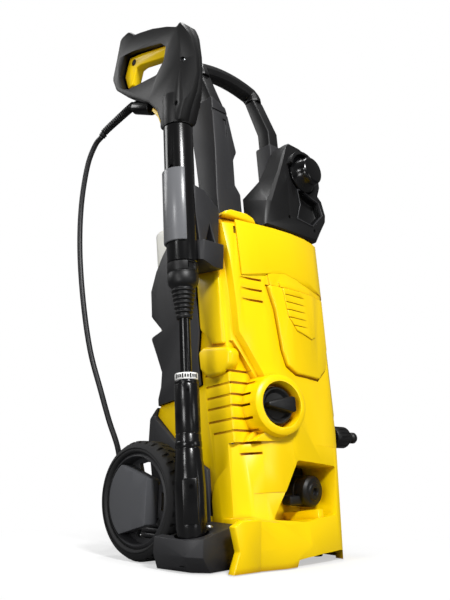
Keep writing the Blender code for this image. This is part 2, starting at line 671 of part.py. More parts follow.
def drive():
    """Motor, shaft, wobble disc and pump between the shells."""
    pump = block((-0.040, PUMP_V[0], 0.070), (OUTLET_X + 0.016, PUMP_V[1] - 0.014, 0.180), LEANING, edge=0.006)
    sole = block((-0.052, PUMP_V[0], PUMP_W[0]), (OUTLET_X + 0.013, PUMP_V[1], 0.074), LEANING, edge=0.003)
    neck = rod(0.028, 0.170, PUMP_W[1], LEANING, (0, MOTOR_V + 0.006, 0), steps=32)
    port = rod(0.0135, -0.031, 0.2, MACHINE, (OUTLET_X, 0, OUTLET_Z), (math.pi / 2, 0, 0))
    well = rod(0.0055, PUMP_W[1] - 0.020, 0.3, LEANING, (0, MOTOR_V, 0), steps=20)
    piece(cut(join(pump, sole, neck), port, well), "pump_head", "aluminium")
    can = turned([(0.0062, MOTOR_TOP), (MOTOR_RADIUS - 0.004, MOTOR_TOP), (MOTOR_RADIUS, MOTOR_TOP - 0.004),
                  (MOTOR_RADIUS, MOTOR_LOW), (MOTOR_RADIUS - 0.004, MOTOR_LOW - 0.004), (0.0062, MOTOR_LOW - 0.004)],
                 LEANING, (0, MOTOR_V, 0), steps=36)
    piece(can, "motor_can", "zinc_steel")
    axis = empty("motor_axis", (0, MOTOR_V, 0), (0, 0, 0), LEANING)
    shaft = rod(0.005, PUMP_W[1] - 0.018, MOTOR_TOP + 0.014, axis, steps=20)
    piece(shaft, "motor_shaft", "zinc_steel")
    disc = turned([(0.0053, DRIVE_W + 0.014), (0.020, DRIVE_W + 0.012), (0.026, DRIVE_W + 0.004),
                   (0.026, DRIVE_W - 0.004), (0.0053, DRIVE_W - 0.004)], axis, steps=32)
    piece(disc, "wobble_disc", "zinc_steel")
    fan = turned([(0.0053, 0.012), (0.012, 0.012), (0.027, 0.004), (0.027, 0.002), (0.0053, 0.002)],
                 axis, (0, 0, MOTOR_TOP), steps=32)
    piece(fan, "cooling_fan", "black_pa")
    frame = block((-0.062, PUMP_V[0] + 0.004, PUMP_W[1] + GAP), (0.062, PUMP_V[1] - 0.008, PUMP_W[1] + 0.004),
                  LEANING)
    posts = [rod(0.004, PUMP_W[1] + 0.002, MOTOR_LOW + 0.004, LEANING, (x, MOTOR_V, 0), steps=16)
             for x in (-0.050, 0.050)]
    seat = block((-0.058, MOTOR_V - 0.012, MOTOR_LOW + 0.002), (0.058, MOTOR_V + 0.012, MOTOR_LOW + 0.008),
                 LEANING)
    hug = rod(MOTOR_RADIUS + GAP, MOTOR_LOW - 0.020, MOTOR_TOP, LEANING, (0, MOTOR_V, 0), steps=36)
    hole = rod(0.010, 0.2, MOTOR_LOW - 0.020, LEANING, (0, MOTOR_V, 0), steps=20)
    piece(cut(join(frame, *posts, seat), hug, hole), "motor_mount", "zinc_steel")
    mouth = BODY_HALF - 0.036 - GAP
    pipe = tube_path([(mouth, INLET_V, INLET_W), (mouth - 0.012, INLET_V, INLET_W),
                      (mouth - 0.019, INLET_V + 0.005, INLET_W), (mouth - 0.024, INLET_V + 0.015, INLET_W - 0.004),
                      (mouth - 0.030, INLET_V + 0.030, INLET_W - 0.014), (mouth - 0.034, INLET_V + 0.042, INLET_W - 0.020),
                      (mouth - 0.034, PUMP_V[0] - GAP, INLET_W - 0.020)], 0.0045, LEANING, 3)
    piece(pipe, "inlet_pipe", "black_pa")
    box = block((SWITCH_X - 0.030, 0.0303, SWITCH_W - 0.024), (SWITCH_X + 0.026, 0.060, SWITCH_W + 0.024), LEANING,
                edge=0.002)
    piece(box, "switch_box", "black_pa")


def axle():
    half = TRACK_HALF - HUB_PROUD - 0.0225
    piece(rod(AXLE_RADIUS, -half, half, MACHINE, (0, AXLE_Y, WHEEL_RADIUS), (0, math.pi / 2, 0), 24, 0.001),
          "axle", "zinc_steel")


def feet():
    for side, tag in ((-1, "left"), (1, "right")):
        top = SKIRT_HEIGHT - GAP
        pad = turned([(0, top), (0.010, top), (0.013, 0.004), (0.012, 0), (0, 0)], MACHINE,
                     (side * (BODY_HALF - 0.030), FRONT_Y + 0.045, 0), steps=24)
        piece(pad, "foot_pad_" + tag, "tyre_pvc")


def inlet_parts():
    spot = (BODY_HALF - 0.004, INLET_V, INLET_W)
    turn = (0, math.pi / 2, 0)
    r = INLET_RADIUS
    nipple = turned([(0.0035, 0.072), (0.0065, 0.072), (0.0092, 0.068), (0.0092, 0.061), (0.0065, 0.059),
                     (0.0065, 0.055), (0.0100, 0.053), (0.0100, 0.047), (0.0075, 0.045), (0.0075, 0.041),
                     (0.0140, 0.041), (0.0140, 0.039), (0.0100, 0.037), (0.0100, -0.032), (0.0035, -0.032)],
                    LEANING, spot, turn, 20)
    piece(nipple, "inlet_nipple", "black_pa")
    nut = turned([(0.0144, 0.0415), (r - 0.002, 0.0415), (r, 0.038), (r, 0.014), (r - 0.003, 0.008),
                  (0.0103, 0.008), (0.0103, 0.0365), (0.0144, 0.0385)], LEANING, spot, turn, 24)
    piece(nut, "inlet_nut", "black_pa")


# ---------------------------------------------------------------------------------------------
# dosing console
# ---------------------------------------------------------------------------------------------
CONSOLE_BACK = HANDLE_V - 0.0195
CONSOLE_FRONT = -0.020
DOSE_X = 0.080
DOSE_W = 0.630
DOSE_SKIRT = 0.0325     # radius of the dosing knob at its foot


def dosing_console():
    low = BODY_TOP / MM + 0.3
    face = [(-30, low), (-12, 557), (23, 627), (46, 680), (56, 685), (80, 684), (108, 677), (120, 667), (130, 647),
            (130, 620), (121, 601), (131, 592), (138, 567), (135, 554), (121, 536), (104, low)]
    back = [(-38, low), (-38, 566), (8, 612), (52, 682), (62, 689), (84, 688), (110, 681), (123, 670), (133, 650),
            (133, 620), (126, 603), (133, 592), (138, 567), (136, 554), (123, 536), (107, low)]
    rim = [(x + 0.2 * (b - x), w + 0.2 * (c - w)) for (x, w), (b, c) in zip(face, back)]
    middle = Vector((0.060, 0.600))
    flat = [middle + (Vector(p) - middle) * 0.965 for p in mm(face)]
    body = loft([[(x, CONSOLE_FRONT, w) for x, w in flat], [(x, CONSOLE_FRONT + 0.004, w) for x, w in mm(rim)],
                 [(x, CONSOLE_BACK, w) for x, w in mm(back)]], LEANING)
    body = cut(body, block((-0.3, -0.3, 0.3), (0.3, 0.3, BODY_TOP + GAP), LEANING))
    pocket = plate(mm([(62, 598), (74, 601), (100, 592), (119, 588), (127, 566), (95, 538), (54, 543), (66, 572)]),
                   -0.1, -0.004, FRONT, LEANING, edge=0.003)
    hood = plate(arc((DOSE_X, DOSE_W), DOSE_SKIRT + 0.008, 30, 165, 10)
                 + arc((DOSE_X, DOSE_W), DOSE_SKIRT + 0.003, 165, 30, 10), CONSOLE_FRONT - 0.010, CONSOLE_FRONT + 0.006,
                 FRONT, LEANING)
    body = join(body, hood)
    dial = rod(DOSE_SKIRT + 0.0025, 0.012, 0.1, LEANING, (DOSE_X, 0, DOSE_W), (math.pi / 2, 0, 0), 36)
    bore = rod(0.0035, -0.1, 0.1, LEANING, (DOSE_X, 0, DOSE_W), (math.pi / 2, 0, 0), 16)
    body = cut(body, pocket, dial, bore)
    piece(body, "dosing_console", "black_pa")
    axis = empty("dosing_axis", (DOSE_X, 0, DOSE_W), (math.pi / 2, 0, 0), LEANING)
    r = DOSE_SKIRT
    knob = turned([(0, 0.047), (0.020, 0.047), (0.0235, 0.0445), (0.0245, 0.040), (0.0260, 0.032), (r - 0.002, 0.025),
                   (r, 0.023), (r, 0.0123), (0.0032, 0.0123), (0.0032, -0.008), (0, -0.008)], axis, steps=40)
    piece(knob, "dosing_knob", "black_pa")


# ---------------------------------------------------------------------------------------------
# handle
# ---------------------------------------------------------------------------------------------
def sleeve():
    """Right sleeve beside the console."""
    half = ARM_WIDTH / 2 + 0.0045
    body = block((HANDLE_X - half, HANDLE_V - half, BODY_TOP + GAP), (HANDLE_X + half, HANDLE_V + half, SLEEVE_TOP),
                 LEANING, edge=0.004)
    piece(cut(body, arm_hole(1, SLEEVE_TOP + 0.01)), "right_sleeve", "grey_pp")


def arm_hole(side, high):
    """Cutter for one handle arm, from below the sleeves up to high."""
    half, deep = ARM_WIDTH / 2 + SLIDE_CLEAR, ARM_DEPTH / 2 + SLIDE_CLEAR
    return block((side * HANDLE_X - half, HANDLE_V - deep, BODY_TOP - 0.05),
                 (side * HANDLE_X + half, HANDLE_V + deep, high), LEANING)


def column():
    """Left column: faceted sleeve of the left arm, deeper towards its top."""
    face = mm([(-97, 512.3), (-98, 560), (-94, 640), (-93, 739), (-88, 738), (-60, 728), (-56, 714), (-48, 676),
               (-42, 650), (-51, 633), (-52, 588), (-41, 574), (-41, 512.3)])
    side = mm([(16.5, 512.3), (16.5, 745), (74, 745), (69, 680), (60, 600), (56.5, 560), (56.5, 512.3)])
    body = common(plate(face, 0.0, 0.1, FRONT, LEANING), plate(side, -0.2, 0.2, SIDE, LEANING))
    body = rounded(body, 0.003, 2, 25)
    relief = block((-HANDLE_X - ARM_WIDTH / 2 - SLIDE_CLEAR, HANDLE_V, BEND_W - 0.008),
                   (-HANDLE_X + ARM_WIDTH / 2 + SLIDE_CLEAR, HANDLE_V + 0.024, 0.8), LEANING)
    band = block((-0.2, 0.0, 0.712), (0.0, 0.0185, 0.7165), LEANING)
    slot = block((-0.070, 0.0, 0.672), (-0.062, 0.0190, 0.704), LEANING)
    piece(cut(body, arm_hole(-1, 0.8), relief, band, slot), "left_column", "grey_pp")


def handle():
    column()
    sleeve()
    axis = empty("handle_slide", (0, HANDLE_V, ARM_BOTTOM), (0, 0, 0), LEANING)
    rise, bend = ELBOW_W - ARM_BOTTOM, BEND_W - ARM_BOTTOM
    half, end = ARM_DEPTH / 2, rise - 0.018
    back = BEND_BACK * (end - bend) / (rise - bend)
    side_view = [(-half, 0), (half, 0), (half, bend), (back + half - 0.002, end - GAP),
                 (back - half + 0.002, end - GAP), (-half, bend)]
    for side, tag in ((-1, "left"), (1, "right")):
        arm = plate(side_view, side * HANDLE_X - ARM_WIDTH / 2, side * HANDLE_X + ARM_WIDTH / 2, SIDE, axis, edge=0.003)
        piece(arm, "handle_arm_" + tag, "black_pa")
    reach = HANDLE_X - 0.004
    count = 15
    crown = []
    for i in range(count):
        t = -1 + 2 * i / (count - 1)
        crown.append((t * reach, BEND_BACK, rise + 0.008 * (1 - t * t)))
    corner = [(HANDLE_X, back, end), (HANDLE_X, back, end + 0.003), (HANDLE_X, (back + BEND_BACK) / 2, rise - 0.008)]
    points = [(-x, y, z) for x, y, z in corner] + crown + corner[::-1]
    piece(tube_path(points, GRIP_RADIUS, axis, 3), "handle_grip", "black_pa")


# ---------------------------------------------------------------------------------------------
# holder, gun, lance
# ---------------------------------------------------------------------------------------------
def accessory_holder():
    """Faceted cup beside the body that the nozzle stands in; its rim rises towards the body."""
    outer = -HOLDER_OUT
    inner = -BODY_HALF - GAP
    back = LANCE_Y + HOLDER_BORE + 0.0025
    beside = -TRACK_HALF - 0.002
    left = -0.046
    ridge = [(outer, left), (outer + 0.001, -0.106), (outer + 0.014, -0.127), (inner, -0.118), (inner, back),
             (beside, back), (beside, left)]
    floor = [(outer + 0.008, left), (outer + 0.018, -0.102), (outer + 0.036, -0.119), (inner, -0.113), (inner, back),
             (beside, back), (beside, left)]
    rim = [(outer + 0.002, left), (outer + 0.003, -0.105), (outer + 0.016, -0.125), (inner, -0.117), (inner, back),
           (beside, back), (beside, left)]
    body = loft([[(x, y, z) for x, y in plan]
                 for plan, z in ((floor, FLOOR_CLEAR), (ridge, 0.022), (rim, 0.070))])
    slope = beyond((-206, -124, 42), (-118, -124, 59), (-206, -40, 42), MACHINE)
    hole = turned([(0, 0.2), (HOLDER_BORE, 0.2), (HOLDER_BORE, 0.046), (HOLDER_BORE - 0.002, 0.030),
                   (HOLDER_BORE - 0.005, 0.008), (0, 0.008)], MACHINE, (LANCE_X, LANCE_Y, 0), steps=32)
    body = cut(body, slope, hole)
    return piece(body, "accessory_holder", "grey_pp")


def gun_axis():
    return empty("lance_axis", (LANCE_X, LANCE_Y, LANCE_FOOT), (-LANCE_LEAN, 0, 0), MACHINE)


SHELL_FOOT = 0.590      # where the gun's shells meet the barrel, above the lance foot
SPIGOT_TOP = 0.626
TRIGGER_PIN = (0.0045, 0.7335)
HOSE_PORT = ((0.058, 0.649), (0.112, 0.674))
COLLAR_LENGTH = 0.044
PIN_RADIUS = 0.003
PIN_HALF = 0.0125
TAB_MIDDLE = (0.036, 0.628)
TAB_WAY = (-0.757, 0.654)   # the release tab is pressed this way
TAB_STEM = 0.013
TAB_STEM_HALF = 0.003
TAB_TRAVEL = 0.0012


def gun_outline():
    """Outline (y, z) of the gun in its own frame: barrel down, D-handle to the rear."""
    return mm([(-23, 590), (-32, 612), (-45, 635), (-52, 660), (-52, 690), (-45, 726),
               (-31, 757), (-22, 751), (0, 763), (34, 777), (66, 786), (80, 789), (95, 803), (117, 799),
               (128, 765), (140, 731), (131, 708), (101, 682), (49, 648), (30, 626), (23, 606), (23, 590)])


def gun_shells(axis):
    """Two moulded halves with the D-handle, split on the gun's middle plane."""
    half = GUN_THICK / 2
    body = plate(gun_outline(), -half, half, SIDE, axis, edge=0.006)
    barrel = rod(BARREL_RADIUS, SHELL_FOOT, 0.640, axis, steps=32)
    body = join(body, barrel)
    window = plate(mm([(2, 726), (14, 738), (80, 757), (105, 761), (119, 728), (110, 700), (96, 693), (26, 687),
                       (8, 704)]), -0.1, 0.1, SIDE, axis, edge=0.002)
    slot = plate(mm([(-3, 716), (0, 737), (72, 767), (112, 772), (126, 730), (118, 696), (100, 696), (10, 702)]),
                 -0.009, 0.009, SIDE, axis)
    spigot = rod(0.0120, 0.4, SPIGOT_TOP + 0.004, axis)
    brows = [plate([(side * 0.030, -0.0077), (side * 0.030, -0.090), (-side * 0.014, -0.090)], 0.615, 0.9, PLAN, axis)
             for side in (-1, 1)]
    port = port_rod(axis, 0.0113, 0.0, 0.2)
    pin = rod(PIN_RADIUS + GAP, -PIN_HALF - GAP, PIN_HALF + GAP, axis, (0, *TRIGGER_PIN), (0, math.pi / 2, 0), 20)
    guide = tab_stem(axis, GAP, TAB_STEM + TAB_TRAVEL + GAP)
    body = cut(body, window, slot, spigot, port, pin, guide, *brows)
    left = cut(copy_of(body), block((-GAP / 2, -1, -1), (1, 1, 1), axis))
    right = cut(body, block((-1, -1, -1), (GAP / 2, 1, 1), axis))
    piece(left, "gun_shell_left", "black_pa")
    piece(right, "gun_shell_right", "black_pa")


def port_rod(axis, radius, start, end, edge=0.0):
    """A rod on the hose port's axis, measured from the port's inner end."""
    (y0, z0), (y1, z1) = HOSE_PORT
    tilt = math.atan2(y1 - y0, z1 - z0)
    return rod(radius, start, end, axis, (0, y0, z0), (-tilt, 0, 0), 24, edge)


def tab_stem(axis, room, length):
    """The release tab's guide stem, grown by room, reaching length into the shells."""
    (y, z), (into_y, into_z) = TAB_MIDDLE, TAB_WAY
    half = TAB_STEM_HALF + room
    corners = [(y + side * into_z * half + deep * into_y, z - side * into_y * half + deep * into_z)
               for side, deep in ((-1, 0.0), (1, 0.0), (1, length), (-1, length))]
    return plate(corners, -TAB_STEM_HALF - room, TAB_STEM_HALF + room, SIDE, axis)


def gun_trigger(axis):
    pin = empty("trigger_pin", (0, *TRIGGER_PIN), (0, 0, 0), axis)
    y0, z0 = TRIGGER_PIN
    outline = mm([(5, 727), (1.8, 730), (1.8, 735), (6, 737.5), (15, 738.5), (80, 754.5), (103, 757.5), (116, 728), (108, 703), (97, 706), (86, 732),
                  (75, 733), (13, 718)])
    outline = [(y - y0, z - z0) for y, z in outline]
    lever = plate(outline, -0.0085, 0.0085, SIDE, pin, edge=0.002)
    hole = rod(0.0056, -0.1, 0.1, pin, (0, LOCK_Y - y0, LOCK_Z - z0), (0, math.pi / 2, 0), 20)
    bar = rod(PIN_RADIUS, -PIN_HALF, PIN_HALF, pin, rotation=(0, math.pi / 2, 0), steps=20)
    piece(join(cut(lever, hole), bar), "trigger", "yellow_abs")
    lock_pin = empty("lock_pin", (0, LOCK_Y, LOCK_Z), (0, math.pi / 2, 0), axis)
    lock = rod(0.0050, -0.0088, 0.0088, lock_pin, steps=20, edge=0.0008)
    piece(lock, "trigger_lock", "black_pa")
    tab = plate(mm([(24.5, 605), (31.4, 625), (48.5, 644), (52, 640), (37, 621), (30.5, 604)]), -0.007, 0.007, SIDE,
                axis)
    piece(join(tab, tab_stem(axis, 0.0, TAB_STEM)), "release_tab", "yellow_abs")


LOCK_Y = 0.092
LOCK_Z = 0.745


def lance(axis):
    barrel = rod(BARREL_RADIUS, 0.372, SHELL_FOOT - GAP, axis, edge=0.002, steps=32)
    spigot = rod(0.0117, SHELL_FOOT - 0.020, SPIGOT_TOP, axis)
    piece(join(barrel, spigot), "gun_barrel", "black_pa")
    collar = turned([(0.0120, 0.3717), (0.0225, 0.3717), (0.0225, 0.345), (0.0190, 0.338), (0.0165, 0.336),
                     (0.0090, 0.290), (0.0085, 0.290), (0.0085, 0.330), (0.0120, 0.334)], axis, steps=32)
    piece(collar, "lance_collar", "black_pa")
    tube = turned([(0, 0.3715), (0.0117, 0.3715), (0.0117, 0.3345), (0.0082, 0.3305), (0.0082, 0.2118),
                   (0, 0.2118)], axis, steps=24)
    piece(tube, "lance_tube", "black_pa")
    ring = turned([(0, 0.2115), (0.0155, 0.2115), (0.0162, 0.210), (0.0162, 0.2035), (0.0155, 0.202),
                   (0, 0.202)], axis, steps=32)
    piece(ring, "setting_ring", "white_pom")
    head = turned([(0, 0.2017), (0.0165, 0.2017), (0.0175, 0.200), (0.0175, 0.118), (0.0184, 0.116),
                   (0.0184, 0.092), (0.0190, 0.090), (NOZZLE_RADIUS, 0.056), (NOZZLE_RADIUS, 0.004),
                   (0.0165, -0.018), (0.0140, -0.0400), (0, -0.0400)], axis, steps=32)
    piece(head, "nozzle_head", "black_pa")
    sweep = [math.radians(a) for a in range(110, 246, 15)]
    inner = [(0.0228 * math.cos(a), 0.0228 * math.sin(a)) for a in sweep]
    outer = [(0.0262 * math.cos(a), 0.0262 * math.sin(a)) for a in reversed(sweep)]
    cover = plate(inner + outer, 0.402, 0.515, PLAN, axis, edge=0.0008)
    piece(cover, "barrel_cover", "grey_pp")


def gun_bracket(axis):
    """Grey fork on the body's side that holds the gun barrel, on a black base."""
    foot = -BODY_HALF - GAP
    fork = plate([(foot, 0.456), (foot, 0.515), (-0.152, 0.538), (-0.172, 0.541), (-0.168, 0.500), (-0.156, 0.452),
                  (-0.146, 0.452), (-0.138, 0.488), (-0.124, 0.456)], -0.066, -0.030, FRONT, MACHINE, edge=0.002)
    base = plate([(foot, -0.008), (foot, -0.078), (-0.160, -0.078), (-0.168, -0.060), (-0.168, -0.020),
                  (-0.150, -0.008)], 0.420, 0.458, PLAN, MACHINE, edge=0.002)
    body = cut(join(fork, base), rod(BARREL_RADIUS + GAP, 0.3, 0.6, axis, steps=32))
    slope = plate([(-0.2, 0.415), (-0.120, 0.415), (-0.2, 0.440)], -0.2, 0.2, FRONT, MACHINE)
    piece(cut(body, slope), "gun_bracket", "grey_pp")


# route of the free hose from the bend relief to the coil, chosen by hand
HOSE_ROUTE = mm([(-178, 166, 680), (-178, 184, 669), (-178, 203, 636), (-178, 214, 568), (-178, 210, 487),
                 (-176, 194, 397), (-168, 177, 313), (-156, 158, 247), (-144, 148, 200), (-130, 137, 151),
                 (-118, 146, 100), (-100, 165, 60), (-72, 195, 38), (-35, 222, 33), (-5.1, 229.5, 32.2)])
COIL_CENTRE = (0.030, 0.168)
COIL_INNER = 0.030
COIL_OUTER = 0.066
COIL_HEIGHT = 0.0367
PLUG_OFFSET = 0.0363    # from the coil's middle to the connector's neck


def smooth_route(points, steps=5):
    """Points on a Catmull-Rom curve through the route's own points."""
    pts = [Vector(p) for p in points]
    pts = [2 * pts[0] - pts[1]] + pts + [2 * pts[-1] - pts[-2]]
    out = []
    for a, b, c, d in zip(pts, pts[1:], pts[2:], pts[3:]):
        for i in range(steps):
            t = i / steps
            out.append(0.5 * (2 * b + (c - a) * t + (2 * a - 5 * b + 4 * c - d) * t ** 2
                              + (3 * b - a - 3 * c + d) * t ** 3))
    return out + [pts[-2]]


def hose(axis):
    collar = port_rod(axis, 0.0110, 0.0, COLLAR_LENGTH, 0.001)
    piece(collar, "hose_collar", "black_pa")
    (y0, z0), (y1, z1) = HOSE_PORT
    way = Vector((0, y1 - y0, z1 - z0)).normalized()
    start = Vector((0, y0, z0)) + way * (COLLAR_LENGTH + GAP)
    bpy.context.view_layer.update()
    into = MACHINE.matrix_world.inverted() @ axis.matrix_world
    straight = [into @ (start + way * d) for d in (0, 0.004, 0.009, 0.014)]
    end = Vector(HOSE_ROUTE[0])
    along = (Vector(HOSE_ROUTE[1]) - end).normalized()
    leave = [end - along * d for d in (0.018, 0.006, 2 * GAP)]
    bend = smooth_route([straight[-2], straight[-1], *leave[:2]], 4)
    relief = straight[:-2] + bend + [leave[-1]]
    piece(tube_path(relief, 0.0062, MACHINE, 2), "bend_relief", "black_pa")
    piece(tube_path(smooth_route(HOSE_ROUTE, 3), HOSE_RADIUS, MACHINE, 2), "pressure_hose", "hose_pvc")
    coil = turned([(COIL_INNER + 0.004, COIL_HEIGHT), (COIL_OUTER - 0.004, COIL_HEIGHT),
                   (COIL_OUTER, COIL_HEIGHT - 0.004), (COIL_OUTER, 0.004), (COIL_OUTER - 0.004, FLOOR_CLEAR),
                   (COIL_INNER + 0.004, FLOOR_CLEAR), (COIL_INNER, 0.004), (COIL_INNER, COIL_HEIGHT - 0.004)],
                  MACHINE, (*COIL_CENTRE, 0), steps=32)
    piece(coil, "hose_coil", "hose_pvc")
    # the hose leaves the coil's lowest turn straight back, at the coil's far side
    plug = turned([(0, 0.046), (0.006, 0.046), (0.006, 0.036), (0.0105, 0.035), (0.0115, 0.033),
                   (0.0115, 0.010), (0.006, 0.009), (0.006, 0.0), (0, 0.0)], MACHINE,
                  (COIL_CENTRE[0] + PLUG_OFFSET, COIL_CENTRE[1] + COIL_OUTER - HOSE_RADIUS, 0.0118),
                  (0, math.pi / 2, 0), 24)
    piece(plug, "hose_connector", "black_pa")


def copy_of(obj):
    twin = obj.copy()
    twin.data = obj.data.copy()
    CUTTERS.objects.link(twin)
    return twin


def main():
    front_cover()
    rear_cover()
    chassis()
    brand_band()
    tower_cap()
    wheel(-1, "left")
    wheel(1, "right")
    switch_knob()
    outlet_fitting()
    inlet_parts()
    dosing_console()
    handle()
    accessory_holder()
    axle()
    feet()
    drive()
    bottle()
    axis = gun_axis()
    gun_shells(axis)
    gun_trigger(axis)
    lance(axis)
    gun_bracket(axis)
    hose(axis)


main()
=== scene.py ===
"""Upright electric pressure washer: finishes, fine detail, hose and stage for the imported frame.

Laid out as a Blender add-on. Each operator makes one group of pieces, and main() calls them
in the order in which the machine is put together.
"""
import json
import math

import bpy
from mathutils import Euler, Matrix, Vector

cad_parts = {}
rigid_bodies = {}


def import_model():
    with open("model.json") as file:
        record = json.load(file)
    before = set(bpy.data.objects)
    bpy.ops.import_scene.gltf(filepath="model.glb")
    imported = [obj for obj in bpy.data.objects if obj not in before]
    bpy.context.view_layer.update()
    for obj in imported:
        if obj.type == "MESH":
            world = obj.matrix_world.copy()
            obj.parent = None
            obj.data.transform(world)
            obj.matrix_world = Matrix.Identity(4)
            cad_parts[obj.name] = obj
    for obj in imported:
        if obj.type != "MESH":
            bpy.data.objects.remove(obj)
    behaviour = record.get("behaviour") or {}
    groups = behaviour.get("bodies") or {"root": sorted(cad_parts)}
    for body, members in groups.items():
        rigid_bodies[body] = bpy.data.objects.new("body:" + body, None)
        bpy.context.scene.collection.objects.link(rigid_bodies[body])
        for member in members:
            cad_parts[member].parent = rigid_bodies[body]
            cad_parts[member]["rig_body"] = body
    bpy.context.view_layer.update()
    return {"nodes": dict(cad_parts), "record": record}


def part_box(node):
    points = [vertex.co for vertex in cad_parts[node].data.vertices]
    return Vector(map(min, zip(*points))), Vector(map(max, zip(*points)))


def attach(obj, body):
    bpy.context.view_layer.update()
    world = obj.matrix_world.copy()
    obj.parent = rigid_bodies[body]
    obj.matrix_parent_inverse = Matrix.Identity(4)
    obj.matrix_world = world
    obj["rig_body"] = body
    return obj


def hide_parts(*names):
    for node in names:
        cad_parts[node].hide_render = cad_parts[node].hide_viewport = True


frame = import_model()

bl_info = {
    "name": "Pressure washer",
    "version": (1, 0, 0),
    "blender": (4, 5, 0),
    "location": "3D View > Sidebar > Washer",
    "description": "Dresses the packed frame of an upright pressure washer",
    "category": "Object",
}

NODES = frame["nodes"]

# the frame's own datum: the origin is on the floor under the middle of the machine
SHIFT = Vector((0.008, 0.01725, 0.0))
FRONT_Y = -0.133
LEAN = math.radians(8)
LANCE_LEAN = math.radians(5.7)
LANCE_FOOT = Vector((-0.178, -0.090, 0.050))
LEANING = Matrix.Translation(SHIFT + Vector((0, FRONT_Y, 0))) @ Matrix.Rotation(-LEAN, 4, "X")
GUN = Matrix.Translation(SHIFT + LANCE_FOOT) @ Matrix.Rotation(-LANCE_LEAN, 4, "X")
TRACK_HALF = 0.190      # middle of the machine to the outer face of a wheel
AXLE_Y = 0.022
WHEEL_RADIUS = 0.084
RIM_RADIUS = 0.067
TYRE_WIDTH = 0.045
WHEEL_FACE = -0.003     # outer face of a tyre, a little behind that of its hub plate
ELBOW_W = 0.823         # height of the grip's ends, along the body's lean
GRIP_REACH = 0.063      # middle of the grip to where its arch starts
GRIP_RADIUS = 0.015
DRIFT_SIZE = 0.09       # one patch of the slow drift in a plastic's colour


# ---------------------------------------------------------------------------------------------
# settings that a user would change
# ---------------------------------------------------------------------------------------------
class WasherColours(bpy.types.PropertyGroup):
    body: bpy.props.StringProperty(name="Body", description="Yellow of the moulded shells, sRGB hex",
                                   default="#FFD500")
    dark: bpy.props.StringProperty(name="Dark parts", description="Black of gun and knobs, sRGB hex",
                                   default="#080809")
    grey: bpy.props.StringProperty(name="Grey parts", description="Grey of rear shell and frame, sRGB hex",
                                   default="#2A2A2C")
    tyre: bpy.props.StringProperty(name="Tyres", description="Colour of the tyres, sRGB hex",
                                   default="#161617")
    ring: bpy.props.StringProperty(name="Setting ring", description="Colour of the lance's ring, sRGB hex",
                                   default="#F0F0EE")


class WasherSizes(bpy.types.PropertyGroup):
    edge: bpy.props.FloatProperty(name="Moulded edge", description="Radius on the edges of moulded parts",
                                  default=0.0009, unit="LENGTH")
    hose_radius: bpy.props.FloatProperty(name="Hose radius", description="Outer radius of the pressure hose",
                                         default=0.0045, unit="LENGTH")
    grain: bpy.props.FloatProperty(name="Mould grain", description="Size of one grain of the texture",
                                   default=0.0007, unit="LENGTH")
    lens: bpy.props.FloatProperty(name="Lens", description="Focal length of the camera in millimetres",
                                  default=45.36)


def colours():
    return bpy.context.scene.washer_colours


def sizes():
    return bpy.context.scene.washer_sizes


# ---------------------------------------------------------------------------------------------
# materials
# ---------------------------------------------------------------------------------------------
def to_linear(colour):
    """An sRGB hex value as linear red, green, blue and alpha."""
    rgb = [int(colour[i:i + 2], 16) / 255 for i in (1, 3, 5)]
    return (*[c / 12.92 if c <= 0.04045 else ((c + 0.055) / 1.055) ** 2.4 for c in rgb], 1.0)


def add_node(tree, kind, settings=(), **inputs):
    """Add a node, set its properties and give each input a value or a link."""
    node = tree.nodes.new(kind)
    for key, value in dict(settings).items():
        setattr(node, key, value)
    for key, value in inputs.items():
        socket = node.inputs[int(key[1:])] if key[1:].isdigit() else node.inputs[key.replace("_", " ")]
        if isinstance(value, bpy.types.NodeSocket):
            tree.links.new(value, socket)
        else:
            socket.default_value = value
    return node


def blank(name, rough, metallic=0.0, ior=1.45):
    """A material with only its shader; returns the material, its tree and the shader."""
    mat = bpy.data.materials.new(name)
    mat.use_nodes = True
    tree = mat.node_tree
    shader = tree.nodes["Principled BSDF"]
    shader.inputs["Roughness"].default_value = rough
    shader.inputs["Metallic"].default_value = metallic
    if not metallic:
        shader.inputs["IOR"].default_value = ior
    return mat, tree, shader


